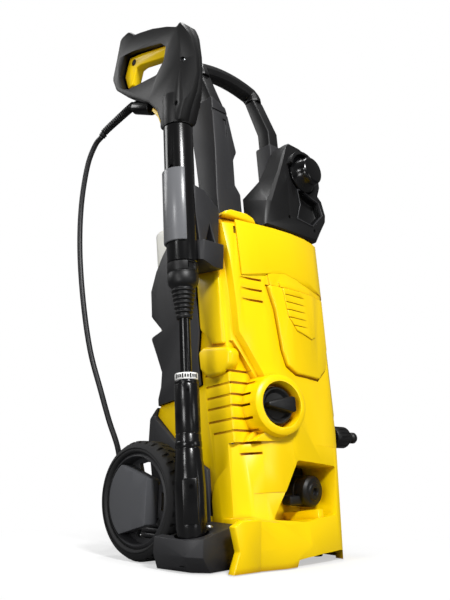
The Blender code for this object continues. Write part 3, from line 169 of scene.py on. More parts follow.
def moulded(name, colour, rough, grain, depth, vary, ior=1.45, crease_shade=None):
    """Injection-moulded plastic: a fine grain in the surface, slow drift in colour and gloss, and painted
    shade in corners when a crease shade is given.
    """
    mat, tree, shader = blank(name, rough, ior=ior)
    place = add_node(tree, "ShaderNodeTexCoord").outputs["Object"]
    drift = add_node(tree, "ShaderNodeTexNoise", Vector=place, Scale=1 / DRIFT_SIZE, Detail=3.0)
    fine = add_node(tree, "ShaderNodeTexNoise", Vector=place, Scale=1 / grain, Detail=2.0)
    base = to_linear(colour)
    low = tuple(c * (1 - vary) for c in base[:3]) + (1.0,)
    high = tuple(min(1.0, c * (1 + vary)) for c in base[:3]) + (1.0,)
    tint = add_node(tree, "ShaderNodeMix", {"data_type": "RGBA"}, i0=drift.outputs["Fac"], i6=low, i7=high)
    gloss = add_node(tree, "ShaderNodeMapRange", Value=drift.outputs["Fac"], To_Min=rough - 0.05,
                     To_Max=rough + 0.06)
    bump = add_node(tree, "ShaderNodeBump", Strength=0.6, Distance=depth, Height=fine.outputs["Fac"])
    shown = tint.outputs[2]
    if crease_shade:
        # painted shade: a deeper colour mixed in where ambient occlusion finds corners and slots
        near = add_node(tree, "ShaderNodeAmbientOcclusion", {"samples": 8}, Distance=0.014)
        share = add_node(tree, "ShaderNodeMapRange", Value=near.outputs["AO"], From_Min=0.25, From_Max=0.85)
        mix = add_node(tree, "ShaderNodeMix", {"data_type": "RGBA"}, i0=share.outputs[0],
                       i6=to_linear(crease_shade), i7=shown)
        shown = mix.outputs[2]
    tree.links.new(shown, shader.inputs["Base Color"])
    tree.links.new(gloss.outputs[0], shader.inputs["Roughness"])
    tree.links.new(bump.outputs[0], shader.inputs["Normal"])
    return mat


def turned_metal(name, colour, rough, pitch, depth):
    """Machined or drawn metal: fine lines along one way and a slow change of polish."""
    mat, tree, shader = blank(name, rough, 1.0)
    place = add_node(tree, "ShaderNodeTexCoord").outputs["Object"]
    drift = add_node(tree, "ShaderNodeTexNoise", Vector=place, Scale=25.0, Detail=3.0)
    across = 0.15 / pitch
    stretch = add_node(tree, "ShaderNodeMapping", Vector=place, Scale=(across, across, 1 / pitch))
    lines = add_node(tree, "ShaderNodeTexNoise", Vector=stretch.outputs[0], Scale=1.0, Detail=2.0)
    shade = add_node(tree, "ShaderNodeMapRange", Value=drift.outputs["Fac"], To_Min=rough - 0.07,
                     To_Max=rough + 0.10)
    bump = add_node(tree, "ShaderNodeBump", Strength=0.5, Distance=depth, Height=lines.outputs["Fac"])
    shader.inputs["Base Color"].default_value = to_linear(colour)
    tree.links.new(shade.outputs[0], shader.inputs["Roughness"])
    tree.links.new(bump.outputs[0], shader.inputs["Normal"])
    return mat


def make_finishes():
    """All finishes of the machine, named for what they are made of."""
    c, grain = colours(), sizes().grain
    made = {
        # ABS, injection-moulded in a polished tool: bright, satin, faint flow marks, with painted shade in
        # its corners and slots
        "yellow_abs": moulded("Yellow ABS", c.body, 0.30, 0.0018, 0.00003, 0.03, ior=1.38, crease_shade="#B87400"),
        # glass-filled polyamide from a spark-eroded tool: black with a fine dull grain
        "black_pa": moulded("Black polyamide", c.dark, 0.46, grain, 0.00006, 0.12),
        # polypropylene with a light grain: dark grey and a little waxy
        "grey_pp": moulded("Grey polypropylene", c.grey, 0.50, grain * 1.3, 0.00007, 0.10),
        # the same polypropylene from a finer tool for the hub plates, painted a little lighter: painted
        # light for the light the plates catch
        "lit_hub_pp": moulded("Satin polypropylene", "#505154", 0.36, grain, 0.00004, 0.06),
        # soft PVC tread: dull, slightly dusty black
        "tyre_pvc": moulded("Soft PVC", c.tyre, 0.72, grain * 2, 0.00010, 0.16),
        # acetal: white and smooth with a soft sheen
        "white_pom": moulded("White acetal", c.ring, 0.30, 0.0015, 0.00002, 0.02),
        # drawn and polished polyamide tube: black and glossy
        "gloss_pa": moulded("Gloss polyamide", c.dark, 0.20, 0.003, 0.00002, 0.10),
        # extruded hose skin: black, satin, with fine lines
        "hose_pvc": moulded("Hose skin", "#1A1A1C", 0.42, 0.0012, 0.00005, 0.10),
        # satin coated polyamide of the half-shell on the barrel: mid grey with a broad sheen
        "satin_grey": moulded("Satin grey polyamide", "#6C6D70", 0.26, 0.003, 0.00002, 0.04),
        # zinc-plated steel: cool grey with rolling lines
        "zinc_steel": turned_metal("Zinc-plated steel", "#B4B7BA", 0.34, 0.0008, 0.00003),
        # die-cast aluminium: pale grey, matt from the blasted die
        "aluminium": turned_metal("Die-cast aluminium", "#A9ACAE", 0.48, 0.0016, 0.00008),
    }
    mat, tree, shader = blank("Natural polyethylene", 0.38, ior=1.51)
    # blow-moulded polyethylene: milky, lets some light in
    shader.inputs["Base Color"].default_value = to_linear("#E4E3DA")
    shader.inputs["Subsurface Weight"].default_value = 0.35
    shader.inputs["Subsurface Radius"].default_value = (0.006, 0.006, 0.005)
    place = add_node(tree, "ShaderNodeTexCoord").outputs["Object"]
    wave = add_node(tree, "ShaderNodeTexNoise", Vector=place, Scale=90.0, Detail=3.0)
    bump = add_node(tree, "ShaderNodeBump", Strength=0.4, Distance=0.0002, Height=wave.outputs["Fac"])
    tree.links.new(bump.outputs[0], shader.inputs["Normal"])
    made["natural_pe"] = mat
    return made


FINISH = {}
GLOSSY = ("gun_barrel", "lance_tube", "lance_collar", "nozzle_head", "dosing_knob", "hose_collar")


def finish_of(node):
    """The finish of a node: its material slot's, but for the few pieces with a gloss of their own and the
    hub plates, whose grey is painted lighter.
    """
    if node == "barrel_cover":
        return FINISH["satin_grey"]
    # painted light: the hub plates take a lighter grey than the rest of the polypropylene
    if "hub_plate" in node:
        return FINISH["lit_hub_pp"]
    slots = {s["node"]: s["material_slot"] for s in frame["record"]["subparts"]}
    name = slots.get(node, "black_pa")
    return FINISH["gloss_pa" if node in GLOSSY else name]


# ---------------------------------------------------------------------------------------------
# modelling helpers
# ---------------------------------------------------------------------------------------------
def deselect():
    """Leave edit mode and select nothing."""
    if bpy.context.object and bpy.context.object.mode != "OBJECT":
        bpy.ops.object.mode_set(mode="OBJECT")
    bpy.ops.object.select_all(action="DESELECT")


def activate(obj):
    """Make the object the only one selected."""
    deselect()
    obj.select_set(True)
    bpy.context.view_layer.objects.active = obj
    return obj


def set_down(obj, name, mat, body, replaced=()):
    """Put a finished shape into the machine: place in the mesh, finish, body, and what it stands for."""
    activate(obj)
    if obj.type != "MESH":
        bpy.ops.object.convert(target="MESH")
    bpy.ops.object.transform_apply(location=True, rotation=True, scale=True)
    obj.name = name
    obj.data.name = name
    obj.data.materials.clear()
    obj.data.materials.append(mat)
    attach(obj, body)
    if replaced:
        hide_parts(*replaced)
    return obj


def soften(obj, width, angle, segments=2):
    """Round the edges sharper than the angle, and shade smooth across what is left."""
    activate(obj)
    if width > 0:
        mod = obj.modifiers.new("edges", "BEVEL")
        mod.width = width
        mod.segments = segments
        mod.limit_method = "ANGLE"
        mod.angle_limit = math.radians(angle)
        bpy.ops.object.modifier_apply(modifier=mod.name)
    bpy.ops.object.shade_smooth_by_angle(angle=math.radians(angle))
    return obj


def refined(node, width=None):
    """A merged copy of a CAD node with its edges softened, standing for the node."""
    return finished(loose(node), node, width)


def edit(obj):
    """Enter edit mode with everything selected."""
    activate(obj)
    bpy.ops.object.mode_set(mode="EDIT")
    bpy.ops.mesh.select_all(action="SELECT")


def tidy(obj):
    """Merge, turn the faces outwards and leave edit mode."""
    edit(obj)
    bpy.ops.mesh.remove_doubles(threshold=0.000005)
    bpy.ops.mesh.normals_make_consistent(inside=False)
    bpy.ops.object.mode_set(mode="OBJECT")
    return obj


def outline(points, fill="NGON"):
    """A flat ring of edges, or a face, through the points."""
    deselect()
    bpy.ops.mesh.primitive_circle_add(vertices=len(points), fill_type=fill)
    obj = bpy.context.object
    for vert, (a, b) in zip(obj.data.vertices, points):
        vert.co = (a, b, 0)
    return obj


def turned(profile, place, steps=64):
    """Spin a closed outline (radius, height) about the place's Z axis."""
    obj = outline(profile, "NOTHING")
    obj.data.transform(Matrix.Rotation(math.pi / 2, 4, "X"))
    edit(obj)
    bpy.ops.mesh.spin(steps=steps, angle=2 * math.pi, center=(0, 0, 0), axis=(0, 0, 1))
    tidy(obj)
    obj.data.transform(place)
    return tidy(obj)


def plate(points, low, high, way, place=LEANING, edge=0.0):
    """A plate from an outline, thick from low to high along the way's own axis."""
    obj = outline(points)
    edit(obj)
    bpy.ops.mesh.extrude_region_move(TRANSFORM_OT_translate={"value": (0, 0, high - low)})
    bpy.ops.object.mode_set(mode="OBJECT")
    obj.data.transform(place @ way @ Matrix.Translation((0, 0, low)))
    tidy(obj)
    return soften(obj, edge, 40) if edge else obj


def drum(radius, low, high, place, at, turn, steps=24):
    """A round bar, used as a cutter."""
    deselect()
    bpy.ops.mesh.primitive_cone_add(vertices=steps, radius1=radius, radius2=radius, depth=high - low)
    obj = bpy.context.object
    spin = Euler(turn).to_matrix().to_4x4()
    obj.data.transform(place @ Matrix.Translation(at) @ spin @ Matrix.Translation((0, 0, (high + low) / 2)))
    return obj


def brick(low, high, place=LEANING):
    """A block between two corners, used as a cutter or joined into a piece."""
    deselect()
    bpy.ops.mesh.primitive_cube_add(size=1)
    obj = bpy.context.object
    middle = [(a + b) / 2 for a, b in zip(low, high)]
    size = [b - a for a, b in zip(low, high)]
    obj.data.transform(place @ Matrix.Translation(middle) @ Matrix.Diagonal((*size, 1)))
    return tidy(obj)


def combine(obj, others, operation="DIFFERENCE"):
    """Boolean the others into the object and drop them."""
    for other in others:
        activate(obj)
        mod = obj.modifiers.new("join", "BOOLEAN")
        mod.operation = operation
        mod.solver = "EXACT"
        mod.object = other
        bpy.ops.object.modifier_apply(modifier=mod.name)
        bpy.data.objects.remove(other)
    return obj


def together(objs):
    """Several meshes as one."""
    activate(objs[0])
    for obj in objs[1:]:
        obj.select_set(True)
    bpy.ops.object.join()
    return bpy.context.object


FLAT = Matrix.Identity(4)
SIDE = Matrix(((0, 0, 1, 0), (1, 0, 0, 0), (0, 1, 0, 0), (0, 0, 0, 1)))    # outline (y, z), thick along x
FACE = Matrix(((1, 0, 0, 0), (0, 0, 1, 0), (0, 1, 0, 0), (0, 0, 0, 1)))    # outline (x, z), thick along y


def mm(points):
    """Points given in millimetres, in metres."""
    return [tuple(c / 1000 for c in p) for p in points]


def loose(node):
    """A merged copy of a CAD node, to be cut and finished by the caller."""
    source = NODES[node]
    obj = source.copy()
    obj.data = source.data.copy()
    for key in list(obj.keys()):
        del obj[key]
    obj.parent = None
    bpy.context.scene.collection.objects.link(obj)
    edit(obj)
    bpy.ops.mesh.remove_doubles(threshold=0.00001)
    bpy.ops.mesh.dissolve_limited(angle_limit=math.radians(0.4))
    bpy.ops.object.mode_set(mode="OBJECT")
    return obj


def finished(obj, node, width=None):
    """Edges softened, and in the place of its node."""
    soften(obj, sizes().edge if width is None else width, 32)
    return set_down(obj, node + "_finished", finish_of(node), NODES[node]["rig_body"], (node,))


# ---------------------------------------------------------------------------------------------
# hose
# ---------------------------------------------------------------------------------------------
# the route's own points, in millimetres, before the frame's shift
HOSE_ROUTE = [(-178, 166, 680), (-178, 184, 669), (-178, 203, 636), (-178, 214, 568), (-178, 210, 487),
              (-176, 194, 397), (-168, 177, 313), (-156, 158, 247), (-144, 148, 200), (-130, 137, 151),
              (-118, 146, 100), (-100, 165, 60), (-72, 195, 38), (-35, 222, 33), (-5.1, 229.5, 32.2)]
COIL_CENTRE = Vector((0.030, 0.168, 0.0))
TURN_RADII = (0.0615, 0.0525, 0.0435, 0.0345)
LAYERS = (0.0322, 0.0232, 0.0142, 0.0052)
PLUG_OFFSET = 0.0363    # from the coil's middle to the connector's neck
PLUG_HEIGHT = 0.0118
# start of the port and a point further along it, in the gun's frame
PORT = (Vector((0, 0.058, 0.649)), Vector((0, 0.112, 0.674)))
COLLAR = 0.044          # length of the collar in the port
GAP = 0.0003            # clearance where two pieces meet


def smooth_route(points):
    """Points on a Catmull-Rom curve through the given points."""
    steps = 6
    pts = [Vector(p) for p in points]
    pts = [2 * pts[0] - pts[1]] + pts + [2 * pts[-1] - pts[-2]]
    out = []
    for a, b, c, d in zip(pts, pts[1:], pts[2:], pts[3:]):
        for i in range(steps):
            t = i / steps
            out.append(0.5 * (2 * b + (c - a) * t + (2 * a - 5 * b + 4 * c - d) * t ** 2
                              + (3 * b - a - 3 * c + d) * t ** 3))
    return out + [pts[-2]]


# ---------------------------------------------------------------------------------------------
# operators
# ---------------------------------------------------------------------------------------------
class WASHER_OT_stage(bpy.types.Operator):
    """Floor, lamps, plain surroundings and the camera."""
    bl_idname = "washer.stage"
    bl_label = "Stage and camera"

    def execute(self, context):
        scene = context.scene
        scene.view_settings.view_transform = "Standard"
        self.camera(scene)
        self.floor()
        self.lamps()
        self.surroundings(scene)
        return {"FINISHED"}

    def camera(self, scene):
        yaw, pitch, roll = math.radians(-45.3), math.radians(11.3), math.radians(1.4)
        ahead = Vector((-math.sin(yaw) * math.cos(pitch), math.cos(yaw) * math.cos(pitch), math.sin(pitch)))
        right = Vector((math.cos(yaw), math.sin(yaw), 0))
        above = right.cross(ahead)
        across = right * math.cos(roll) + above * math.sin(roll)
        upright = above * math.cos(roll) - right * math.sin(roll)
        data = bpy.data.cameras.new("Camera")
        data.lens = sizes().lens
        data.sensor_width = 36
        data.clip_start = 0.01
        obj = bpy.data.objects.new("Camera", data)
        scene.collection.objects.link(obj)
        place = Matrix((across, upright, -ahead)).transposed().to_4x4()
        place.translation = SHIFT + Vector((-0.891, -0.847, 0.156))
        obj.matrix_world = place
        scene.camera = obj

    def floor(self):
        deselect()
        bpy.ops.mesh.primitive_plane_add(size=40, location=(0, 0, -0.0005))
        obj = bpy.context.object
        obj.name = "studio_floor"
        mat, tree, shader = blank("White paper floor", 0.9)
        out = tree.nodes["Material Output"]
        shader.inputs["Specular IOR Level"].default_value = 0.0
        rays = add_node(tree, "ShaderNodeLightPath")
        glow = add_node(tree, "ShaderNodeEmission", Color=(1, 1, 1, 1), Strength=1.0)
        # only near the machine does the paper show its shadow; further out it is plain white
        place = add_node(tree, "ShaderNodeTexCoord").outputs["Object"]
        reach = add_node(tree, "ShaderNodeVectorMath", {"operation": "LENGTH"}, i0=place)
        white = add_node(tree, "ShaderNodeMapRange", {"interpolation_type": "SMOOTHSTEP"},
                         Value=reach.outputs["Value"], From_Min=0.10, From_Max=0.48, To_Min=0.50, To_Max=1.0)
        seen = add_node(tree, "ShaderNodeMath", {"operation": "MULTIPLY"},
                        i0=rays.outputs["Is Camera Ray"], i1=white.outputs[0])
        # the machine's underside sees a darker paper, so that its steps and hollows keep their depth
        dim = add_node(tree, "ShaderNodeMix", {"data_type": "RGBA"},
                       i0=rays.outputs["Is Camera Ray"], i6=to_linear("#6E6E6E"), i7=to_linear("#F6F6F6"))
        tree.links.new(dim.outputs[2], shader.inputs["Base Color"])
        both = add_node(tree, "ShaderNodeMixShader", i0=seen.outputs[0], i1=shader.outputs[0],
                        i2=glow.outputs[0])
        tree.links.new(both.outputs[0], out.inputs["Surface"])
        obj.data.materials.append(mat)

    def lamps(self):
        # name, place in metres, side in metres, power in watts
        for name, at, size, power in (("key", (-0.9, -2.0, 2.1), 0.5, 80),
                                      ("wheel", (-1.25, -0.30, 0.22), 0.3, 3.2),
                                      ("front", (0.5, -2.3, 0.55), 0.6, 5),
                                      ("top", (0.2, 0.3, 2.4), 0.7, 20),
                                      ("back", (-1.0, 2.0, 1.6), 0.9, 12),
                                      ("strip", (-2.2, -0.2, 1.1), 0.35, 9),
                                      ("low", (-0.45, -1.4, 0.04), 0.3, 0.9)):
            data = bpy.data.lights.new(name, "AREA")
            data.size = size
            data.energy = power
            obj = bpy.data.objects.new(name, data)
            bpy.context.scene.collection.objects.link(obj)
            obj.location = at
            way = Vector((0, 0, min(at[2], 0.45))) - Vector(at)
            obj.rotation_euler = way.to_track_quat("-Z", "Y").to_euler()

    def surroundings(self, scene):
        world = bpy.data.worlds.new("White studio")
        scene.world = world
        world.use_nodes = True
        tree = world.node_tree
        plain = tree.nodes["Background"]
        plain.inputs["Color"].default_value = (1, 1, 1, 1)
        rays = add_node(tree, "ShaderNodeLightPath")
        seen = add_node(tree, "ShaderNodeMath", {"operation": "MAXIMUM"},
                        i0=rays.outputs["Is Camera Ray"], i1=rays.outputs["Is Transmission Ray"])
        level = add_node(tree, "ShaderNodeMapRange", Value=seen.outputs[0], To_Min=0.16, To_Max=1.0)
        tree.links.new(level.outputs[0], plain.inputs["Strength"])


def coil_points():
    """The stored hose: four layers of four turns from the top down, first inwards, then back out."""
    radii = []
    for layer in range(len(LAYERS)):
        radii += TURN_RADII if layer % 2 == 0 else TURN_RADII[::-1]
    heights = [z for z in LAYERS for _ in TURN_RADII]
    pts = []
    steps = 18
    for turn, (r, z) in enumerate(zip(radii, heights)):
        last = turn == len(radii) - 1
        r2 = r if last else radii[turn + 1]
        z2 = z if last else heights[turn + 1]
        for i in range(steps):
            t = i / steps
            late = max(0.0, (t - 0.75) / 0.25)
            late = late * late * (3 - 2 * late)
            angle = math.radians(90 - 360 * t)
            now = r + (r2 - r) * late
            height = z + (z2 - z) * late
            pts.append(COIL_CENTRE + Vector((now * math.cos(angle), now * math.sin(angle), height)))
    # out of the lowest turn and up into the connector
    far = COIL_CENTRE + Vector((0, TURN_RADII[0], 0))
    for x, z in ((0.0, LAYERS[-1]), (0.010, LAYERS[-1]), (0.020, 0.0064), (0.028, 0.0095), (0.034, 0.0116),
                 (PLUG_OFFSET + 0.006, PLUG_HEIGHT)):
        pts.append(far + Vector((x, 0, z)))
    return pts


def spline(name, pts, radius, scale=None):
    """A round tube along the points, each with its own share of the radius."""
    deselect()
    bpy.ops.curve.primitive_bezier_curve_add()
    obj = bpy.context.object
    curve = obj.data
    curve.splines.clear()
    line = curve.splines.new("POLY")
    line.points.add(len(pts) - 1)
    for i, p in enumerate(pts):
        line.points[i].co = (*p, 1.0)
        line.points[i].radius = scale[i] if scale else 1.0
    obj.location = (0, 0, 0)
    curve.dimensions = "3D"
    curve.bevel_depth = radius
    curve.bevel_resolution = 4
    curve.use_fill_caps = True
    obj.name = name
    return obj


def even(pts, step):
    """The same line with a point every step metres."""
    out, left = [pts[0]], step
    for a, b in zip(pts, pts[1:]):
        run = (b - a).length
        while run > left:
            a = a + (b - a) * (left / run)
            run = (b - a).length
            out.append(a)
            left = step
        left -= run
    return out + [pts[-1]]


class WASHER_OT_hose(bpy.types.Operator):
    """Pressure hose from the gun to its connector, with the bend relief on it."""
    bl_idname = "washer.hose"
    bl_label = "Pressure hose"

    def execute(self, context):
        back = Matrix.Translation(-SHIFT) @ GUN
        way = (PORT[1] - PORT[0]).normalized()
        ahead = back.to_3x3() @ way
        start = back @ (PORT[0] + way * (COLLAR + GAP))
        first = [Vector(p) / 1000 for p in HOSE_ROUTE]
        along = (first[1] - first[0]).normalized()
        bend = smooth_route([start + ahead * 0.009, start + ahead * 0.014, first[0] - along * 0.018,
                             first[0] - along * 0.006])
        relief = [start, start + ahead * 0.004] + bend + [first[0] - along * 2 * GAP]
        line = relief + smooth_route(first) + coil_points()
        line = [p + SHIFT for p in line]
        kept = [line[0]]
        for p in line[1:]:
            if (p - kept[-1]).length > 0.0015:
                kept.append(p)
        hose = spline("pressure_hose_run", kept, sizes().hose_radius)
        hose.data.materials.append(FINISH["hose_pvc"])
        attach(hose, "machine")
        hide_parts("pressure_hose", "hose_coil")
        # bend relief: a soft sleeve with a collar and rings that get smaller along the hose
        sleeve = even([p + SHIFT for p in relief], 0.0011)
        count = len(sleeve)
        widths = []
        for i in range(count):
            body = 0.0074 - 0.0012 * i / count
            ring = i % 4 in (0, 1) and 3 < i < count - 2
            widths.append((body if ring or i <= 3 else body - 0.0017) / 0.0074)
        boot = spline("bend_relief_sleeve", sleeve, 0.0074, widths)
        boot = set_down(boot, "bend_relief_sleeve", FINISH["black_pa"], "machine", ("bend_relief",))
        bpy.ops.object.shade_smooth_by_angle(angle=math.radians(50))
        plug = refined("hose_connector", 0.0006)
        return {"FINISHED"}


class WASHER_OT_wheels(bpy.types.Operator):
    """Tyres with a block tread, rims and hub plates."""
    bl_idname = "washer.wheels"
    bl_label = "Wheels"

    def execute(self, context):
        radius, rim, width, face = WHEEL_RADIUS, RIM_RADIUS, TYRE_WIDTH, WHEEL_FACE
        for side, tag in ((-1, "left"), (1, "right")):
            place = (Matrix.Translation(SHIFT + Vector((side * TRACK_HALF, AXLE_Y, radius)))
                     @ Euler((side * math.pi / 2, 0, math.pi / 2)).to_matrix().to_4x4())
            tyre = turned([(radius - 0.010, face), (radius - 0.004, face - 0.003), (radius, face - 0.010),
                           (radius, face - width + 0.010), (radius - 0.006, face - width + 0.002),
                           (rim + 0.004, face - width), (rim, face - width + 0.004), (rim, face - 0.004),
                           (rim + 0.002, face - 0.0005), (rim + 0.004, face), (rim + 0.0055, face - 0.0016),
                           (rim + 0.0075, face - 0.0016)], place, 80)
            # tread blocks: slots across each shoulder, half a pitch apart
            cuts = []
            count = 36
            for i in range(count):
                for row, (low, high) in enumerate(((-0.021, 0.002), (-0.050, -0.024))):
                    angle = 2 * math.pi * (i + 0.5 * row) / count
                    spot = place @ Matrix.Rotation(angle, 4, "Z")
                    spot = spot @ Matrix.Translation((radius, 0, (low + high) / 2))
                    spot = spot @ Matrix.Rotation(math.radians(18 * (1 - 2 * row)), 4, "X")
                    half = (high - low) / 2
                    cuts.append(brick((-0.0034, -0.0021, -half), (0.004, 0.0021, half), spot))
            tyre = combine(tyre, [together(cuts)])
            tidy(tyre)
            soften(tyre, 0.0005, 40, 1)
            set_down(tyre, tag + "_tyre_tread", finish_of(tag + "_tyre"), tag + "_wheel", (tag + "_tyre",))
            refined(tag + "_rim", 0.0008)
            # the hub plate falls away a little from its middle
            crown = turned([(0.0, 0.0), (0.020, -0.0004), (0.040, -0.0017), (0.056, -0.0034),
                            (0.080, -0.0068), (0.080, -0.060), (0.0, -0.060)], place)
            finished(combine(loose(tag + "_hub_plate"), [crown], "INTERSECT"), tag + "_hub_plate", 0.0012)
        return {"FINISHED"}


def panel_line(proud):
    """Plan (x, v) of the bowed front panel, moved forward by proud."""
    return [(a, b - proud) for a, b in mm([(-106, -10), (-90, -13.5), (-60, -17.5), (-30, -20.8), (0, -22),
                                           (30, -20.8), (60, -17.5), (90, -12.5), (104, -9.5)])]


def bowed(points, proud, edge, depth=0.0):
    """A field of the outline (x, w) that follows the bowed panel, from depth behind it to proud of it."""
    line = panel_line(proud)
    back = panel_line(-depth)[::-1] if depth else [(line[-1][0], -0.008), (line[0][0], -0.008)]
    slab = plate(line + back, 0.25, 0.46, FLAT)
    field = combine(slab, [plate(mm(points), -0.06, 0.02, FACE)], "INTERSECT")
    return soften(field, edge, 30, 3)


class WASHER_OT_front(bpy.types.Operator):
    """Yellow front shell with its raised fields, louvres and the band above them."""
    bl_idname = "washer.front"
    bl_label = "Front shell"

    def execute(self, context):
        cover = loose("front_cover")
        # the panel's lower left corner runs flush into the hip below the switch
        flush = plate(mm([(-119, 40), (-113, 21.5), (-96.5, 3.4), (-75.3, -9.8), (-40, -18.9), (-20, -21),
                          (-20, -80), (-200, -80), (-200, 40)]), 0.068, 0.171, FLAT)
        louvres = []
        for w in (0.186, 0.203, 0.222, 0.238, 0.255, 0.272):
            back = 0.056 - 0.03 * max(0.0, 0.2 - w) / 0.05
            louvres.append(brick((-0.1150, 0.004, w), (-0.1103, back, w + 0.0032)))
        # a groove runs down the left side and under the lower edge of the middle field
        groove = bowed([(-46, 409), (-33.6, 370), (-26.2, 308), (-18, 282), (3.5, 270), (63, 267), (91, 286),
                        (104, 322), (108, 409)], 0.004, 0.0, 0.0026)
        cover = combine(cover, [flush, together(louvres), groove])
        inner = bowed([(-41, 408), (-30, 370), (-23, 308), (-15, 284), (4.5, 273), (63, 270), (89, 289),
                       (101, 324), (103, 408)], 0.0052, 0.0028)
        grille = bowed([(-14, 407), (71, 407), (61, 337), (50, 332), (12, 341), (-6, 362)], 0.0074, 0.0018)
        slots = [brick((-0.006 - i * 0.001, -0.05, w), (0.0660, -0.0270, w + 0.0015))
                 for i, w in enumerate((0.348, 0.360, 0.372, 0.384, 0.396))]
        grille = combine(grille, [together(slots)])
        cover = combine(cover, [inner, grille], "UNION")
        finished(cover, "front_cover", 0.0011)
        # the two dark clip windows beside the band
        marks = []
        for x, w in ((-0.096, 0.490), (-0.090, 0.446)):
            marks.append(brick((x - 0.0019, -0.0105, w - 0.0058), (x + 0.0019, -0.0048, w + 0.0058)))
        # the band's underside slopes back to the panel as a broad lip
        lip = plate(mm([(-60, 380), (60, 380), (60, 400), (0, 409), (-12.5, 415.5), (-17.5, 420.5),
                        (-22, 427), (-24.6, 436), (-26.3, 446), (-60, 446)]), -0.2, 0.2, SIDE)
        finished(combine(loose("brand_band"), [lip]), "brand_band", 0.0007)
        refined("tower_cap", 0.0015)
        refined("left_column", 0.0015)
        window = soften(together(marks), 0.0003, 40, 1)
        set_down(window, "band_clip_windows", FINISH["black_pa"], "machine")
        return {"FINISHED"}


class WASHER_OT_gun(bpy.types.Operator):
    """Trigger gun with its screws, barrel, ribbed lance collar and spray head."""
    bl_idname = "washer.gun"
    bl_label = "Gun and lance"

    def execute(self, context):
        shell = loose("gun_shell_left")
        spots = ((-0.033, 0.687), (-0.017, 0.619))
        quarter = (0, math.pi / 2, 0)
        holes = [drum(0.0042, -0.030, -0.0125, GUN, (0, y, z), quarter) for y, z in spots]
        # moulded line down the gun's left side, near its front edge
        groove = brick((-0.0190, -0.0405, 0.640), (-0.0172, -0.0393, 0.735), GUN)
        finished(combine(shell, holes + [groove]), "gun_shell_left")
        outwards = Euler((0, -math.pi / 2, 0)).to_matrix().to_4x4()
        screws = [turned([(0.0012, -0.0002), (0.0030, -0.0002), (0.0030, 0.0010), (0.0024, 0.0018),
                          (0.0014, 0.0019), (0.0012, 0.0006)],
                         GUN @ Matrix.Translation((-0.0126, y, z)) @ outwards, 16) for y, z in spots]
        set_down(soften(together(screws), 0.0, 40), "gun_screws", FINISH["zinc_steel"],
                 NODES["gun_shell_left"]["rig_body"])
        refined("gun_shell_right")
        refined("trigger", 0.0012)
        refined("trigger_lock", 0.0005)
        refined("release_tab", 0.0008)
        refined("hose_collar", 0.0006)
        barrel = loose("gun_barrel")
        dimple = drum(0.0038, -0.030, -0.018, GUN, (0, -0.005, 0.518), quarter)
        finished(combine(barrel, [dimple]), "gun_barrel")
        refined("barrel_cover", 0.0009)
        # seven ribs that widen up to the collar's sleeve
        wave = [(0.0090, 0.2895), (0.0110, 0.2895)]
        for i in range(7):
            z, r = 0.2925 + 0.0062 * i, 0.0110 + 0.0009 * i
            wave += [(r + 0.0010, z), (r + 0.0013, z + 0.0020), (r - 0.0009, z + 0.0032),
                     (r - 0.0008, z + 0.0052)]
        sleeve = [(0.0190, 0.3375), (0.0212, 0.3400), (0.0225, 0.3450), (0.0225, 0.3560), (0.0217, 0.3564),
                  (0.0217, 0.3580), (0.0225, 0.3584), (0.0225, 0.3716), (0.0121, 0.3716), (0.0121, 0.3340)]
        collar = turned([(0.0086, 0.330), (0.0086, 0.2900)] + wave + sleeve, GUN)
        pocket = brick((-0.0085, -0.0240, 0.3600), (0.0035, -0.0200, 0.3700), GUN)
        set_down(soften(combine(collar, [pocket]), 0.0004, 40, 1), "lance_collar_finished",
                 FINISH["black_pa"], NODES["lance_collar"]["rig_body"], ("lance_collar",))
        refined("lance_tube", 0.0004)
        ring = turned([(0.0, 0.2114), (0.0155, 0.2114), (0.0163, 0.2104), (0.0163, 0.2032),
                       (0.0155, 0.2021), (0.0, 0.2021)], GUN)
        set_down(soften(ring, 0.0, 40), "setting_ring_finished", FINISH["white_pom"],
                 NODES["setting_ring"]["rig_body"], ("setting_ring",))
        ticks = []
        for i in range(10):
            about = GUN @ Matrix.Rotation(math.radians(-100 + 13 * i), 4, "Z")
            tall = 0.0022 if i % 3 else 0.0030
            ticks.append(brick((-0.0012, -0.01650, 0.2068 - tall), (0.0012, -0.0160, 0.2068 + tall), about))
        set_down(soften(together(ticks), 0.0, 40), "setting_ring_marks", FINISH["black_pa"],
                 NODES["setting_ring"]["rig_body"])
        self.spray_head()
        return {"FINISHED"}

    def spray_head(self):
        head = turned([(0, 0.2016), (0.0165, 0.2016), (0.0175, 0.2000), (0.0175, 0.1980),
                       (0.0169, 0.1975), (0.0169, 0.1960), (0.0175, 0.1955), (0.0175, 0.1300),
                       (0.0168, 0.1294), (0.0168, 0.1280), (0.0176, 0.1274), (0.0178, 0.1180),
                       (0.0184, 0.1172), (0.0184, 0.1100), (0.0177, 0.1095), (0.0177, 0.1080),
                       (0.0185, 0.1075), (0.0188, 0.0920), (0.0194, 0.0900), (0.0212, 0.0560),
                       (0.0212, 0.0040), (0.0165, -0.0180), (0.0140, -0.0399), (0, -0.0399)], GUN, 72)
        facing = GUN @ Matrix.Rotation(math.radians(-43), 4, "Z")
        panel = plate([(-0.0100, 0.010), (-0.0100, 0.066), (-0.0080, 0.069), (0.0080, 0.069),
                       (0.0100, 0.066), (0.0100, 0.010)], -0.0222, -0.010, FACE, facing, 0.0008)
        head = combine(head, [panel], "UNION")
        holes = [drum(0.0030, 0.016, 0.026, facing, (0.0015, 0, 0.058), (math.pi / 2, 0, 0)),
                 drum(0.0022, 0.014, 0.026, facing, (0.0015, 0, 0.186), (math.pi / 2, 0, 0))]
        head = combine(head, holes)
        set_down(soften(head, 0.0004, 35, 1), "nozzle_head_finished", FINISH["gloss_pa"],
                 NODES["nozzle_head"]["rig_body"], ("nozzle_head",))


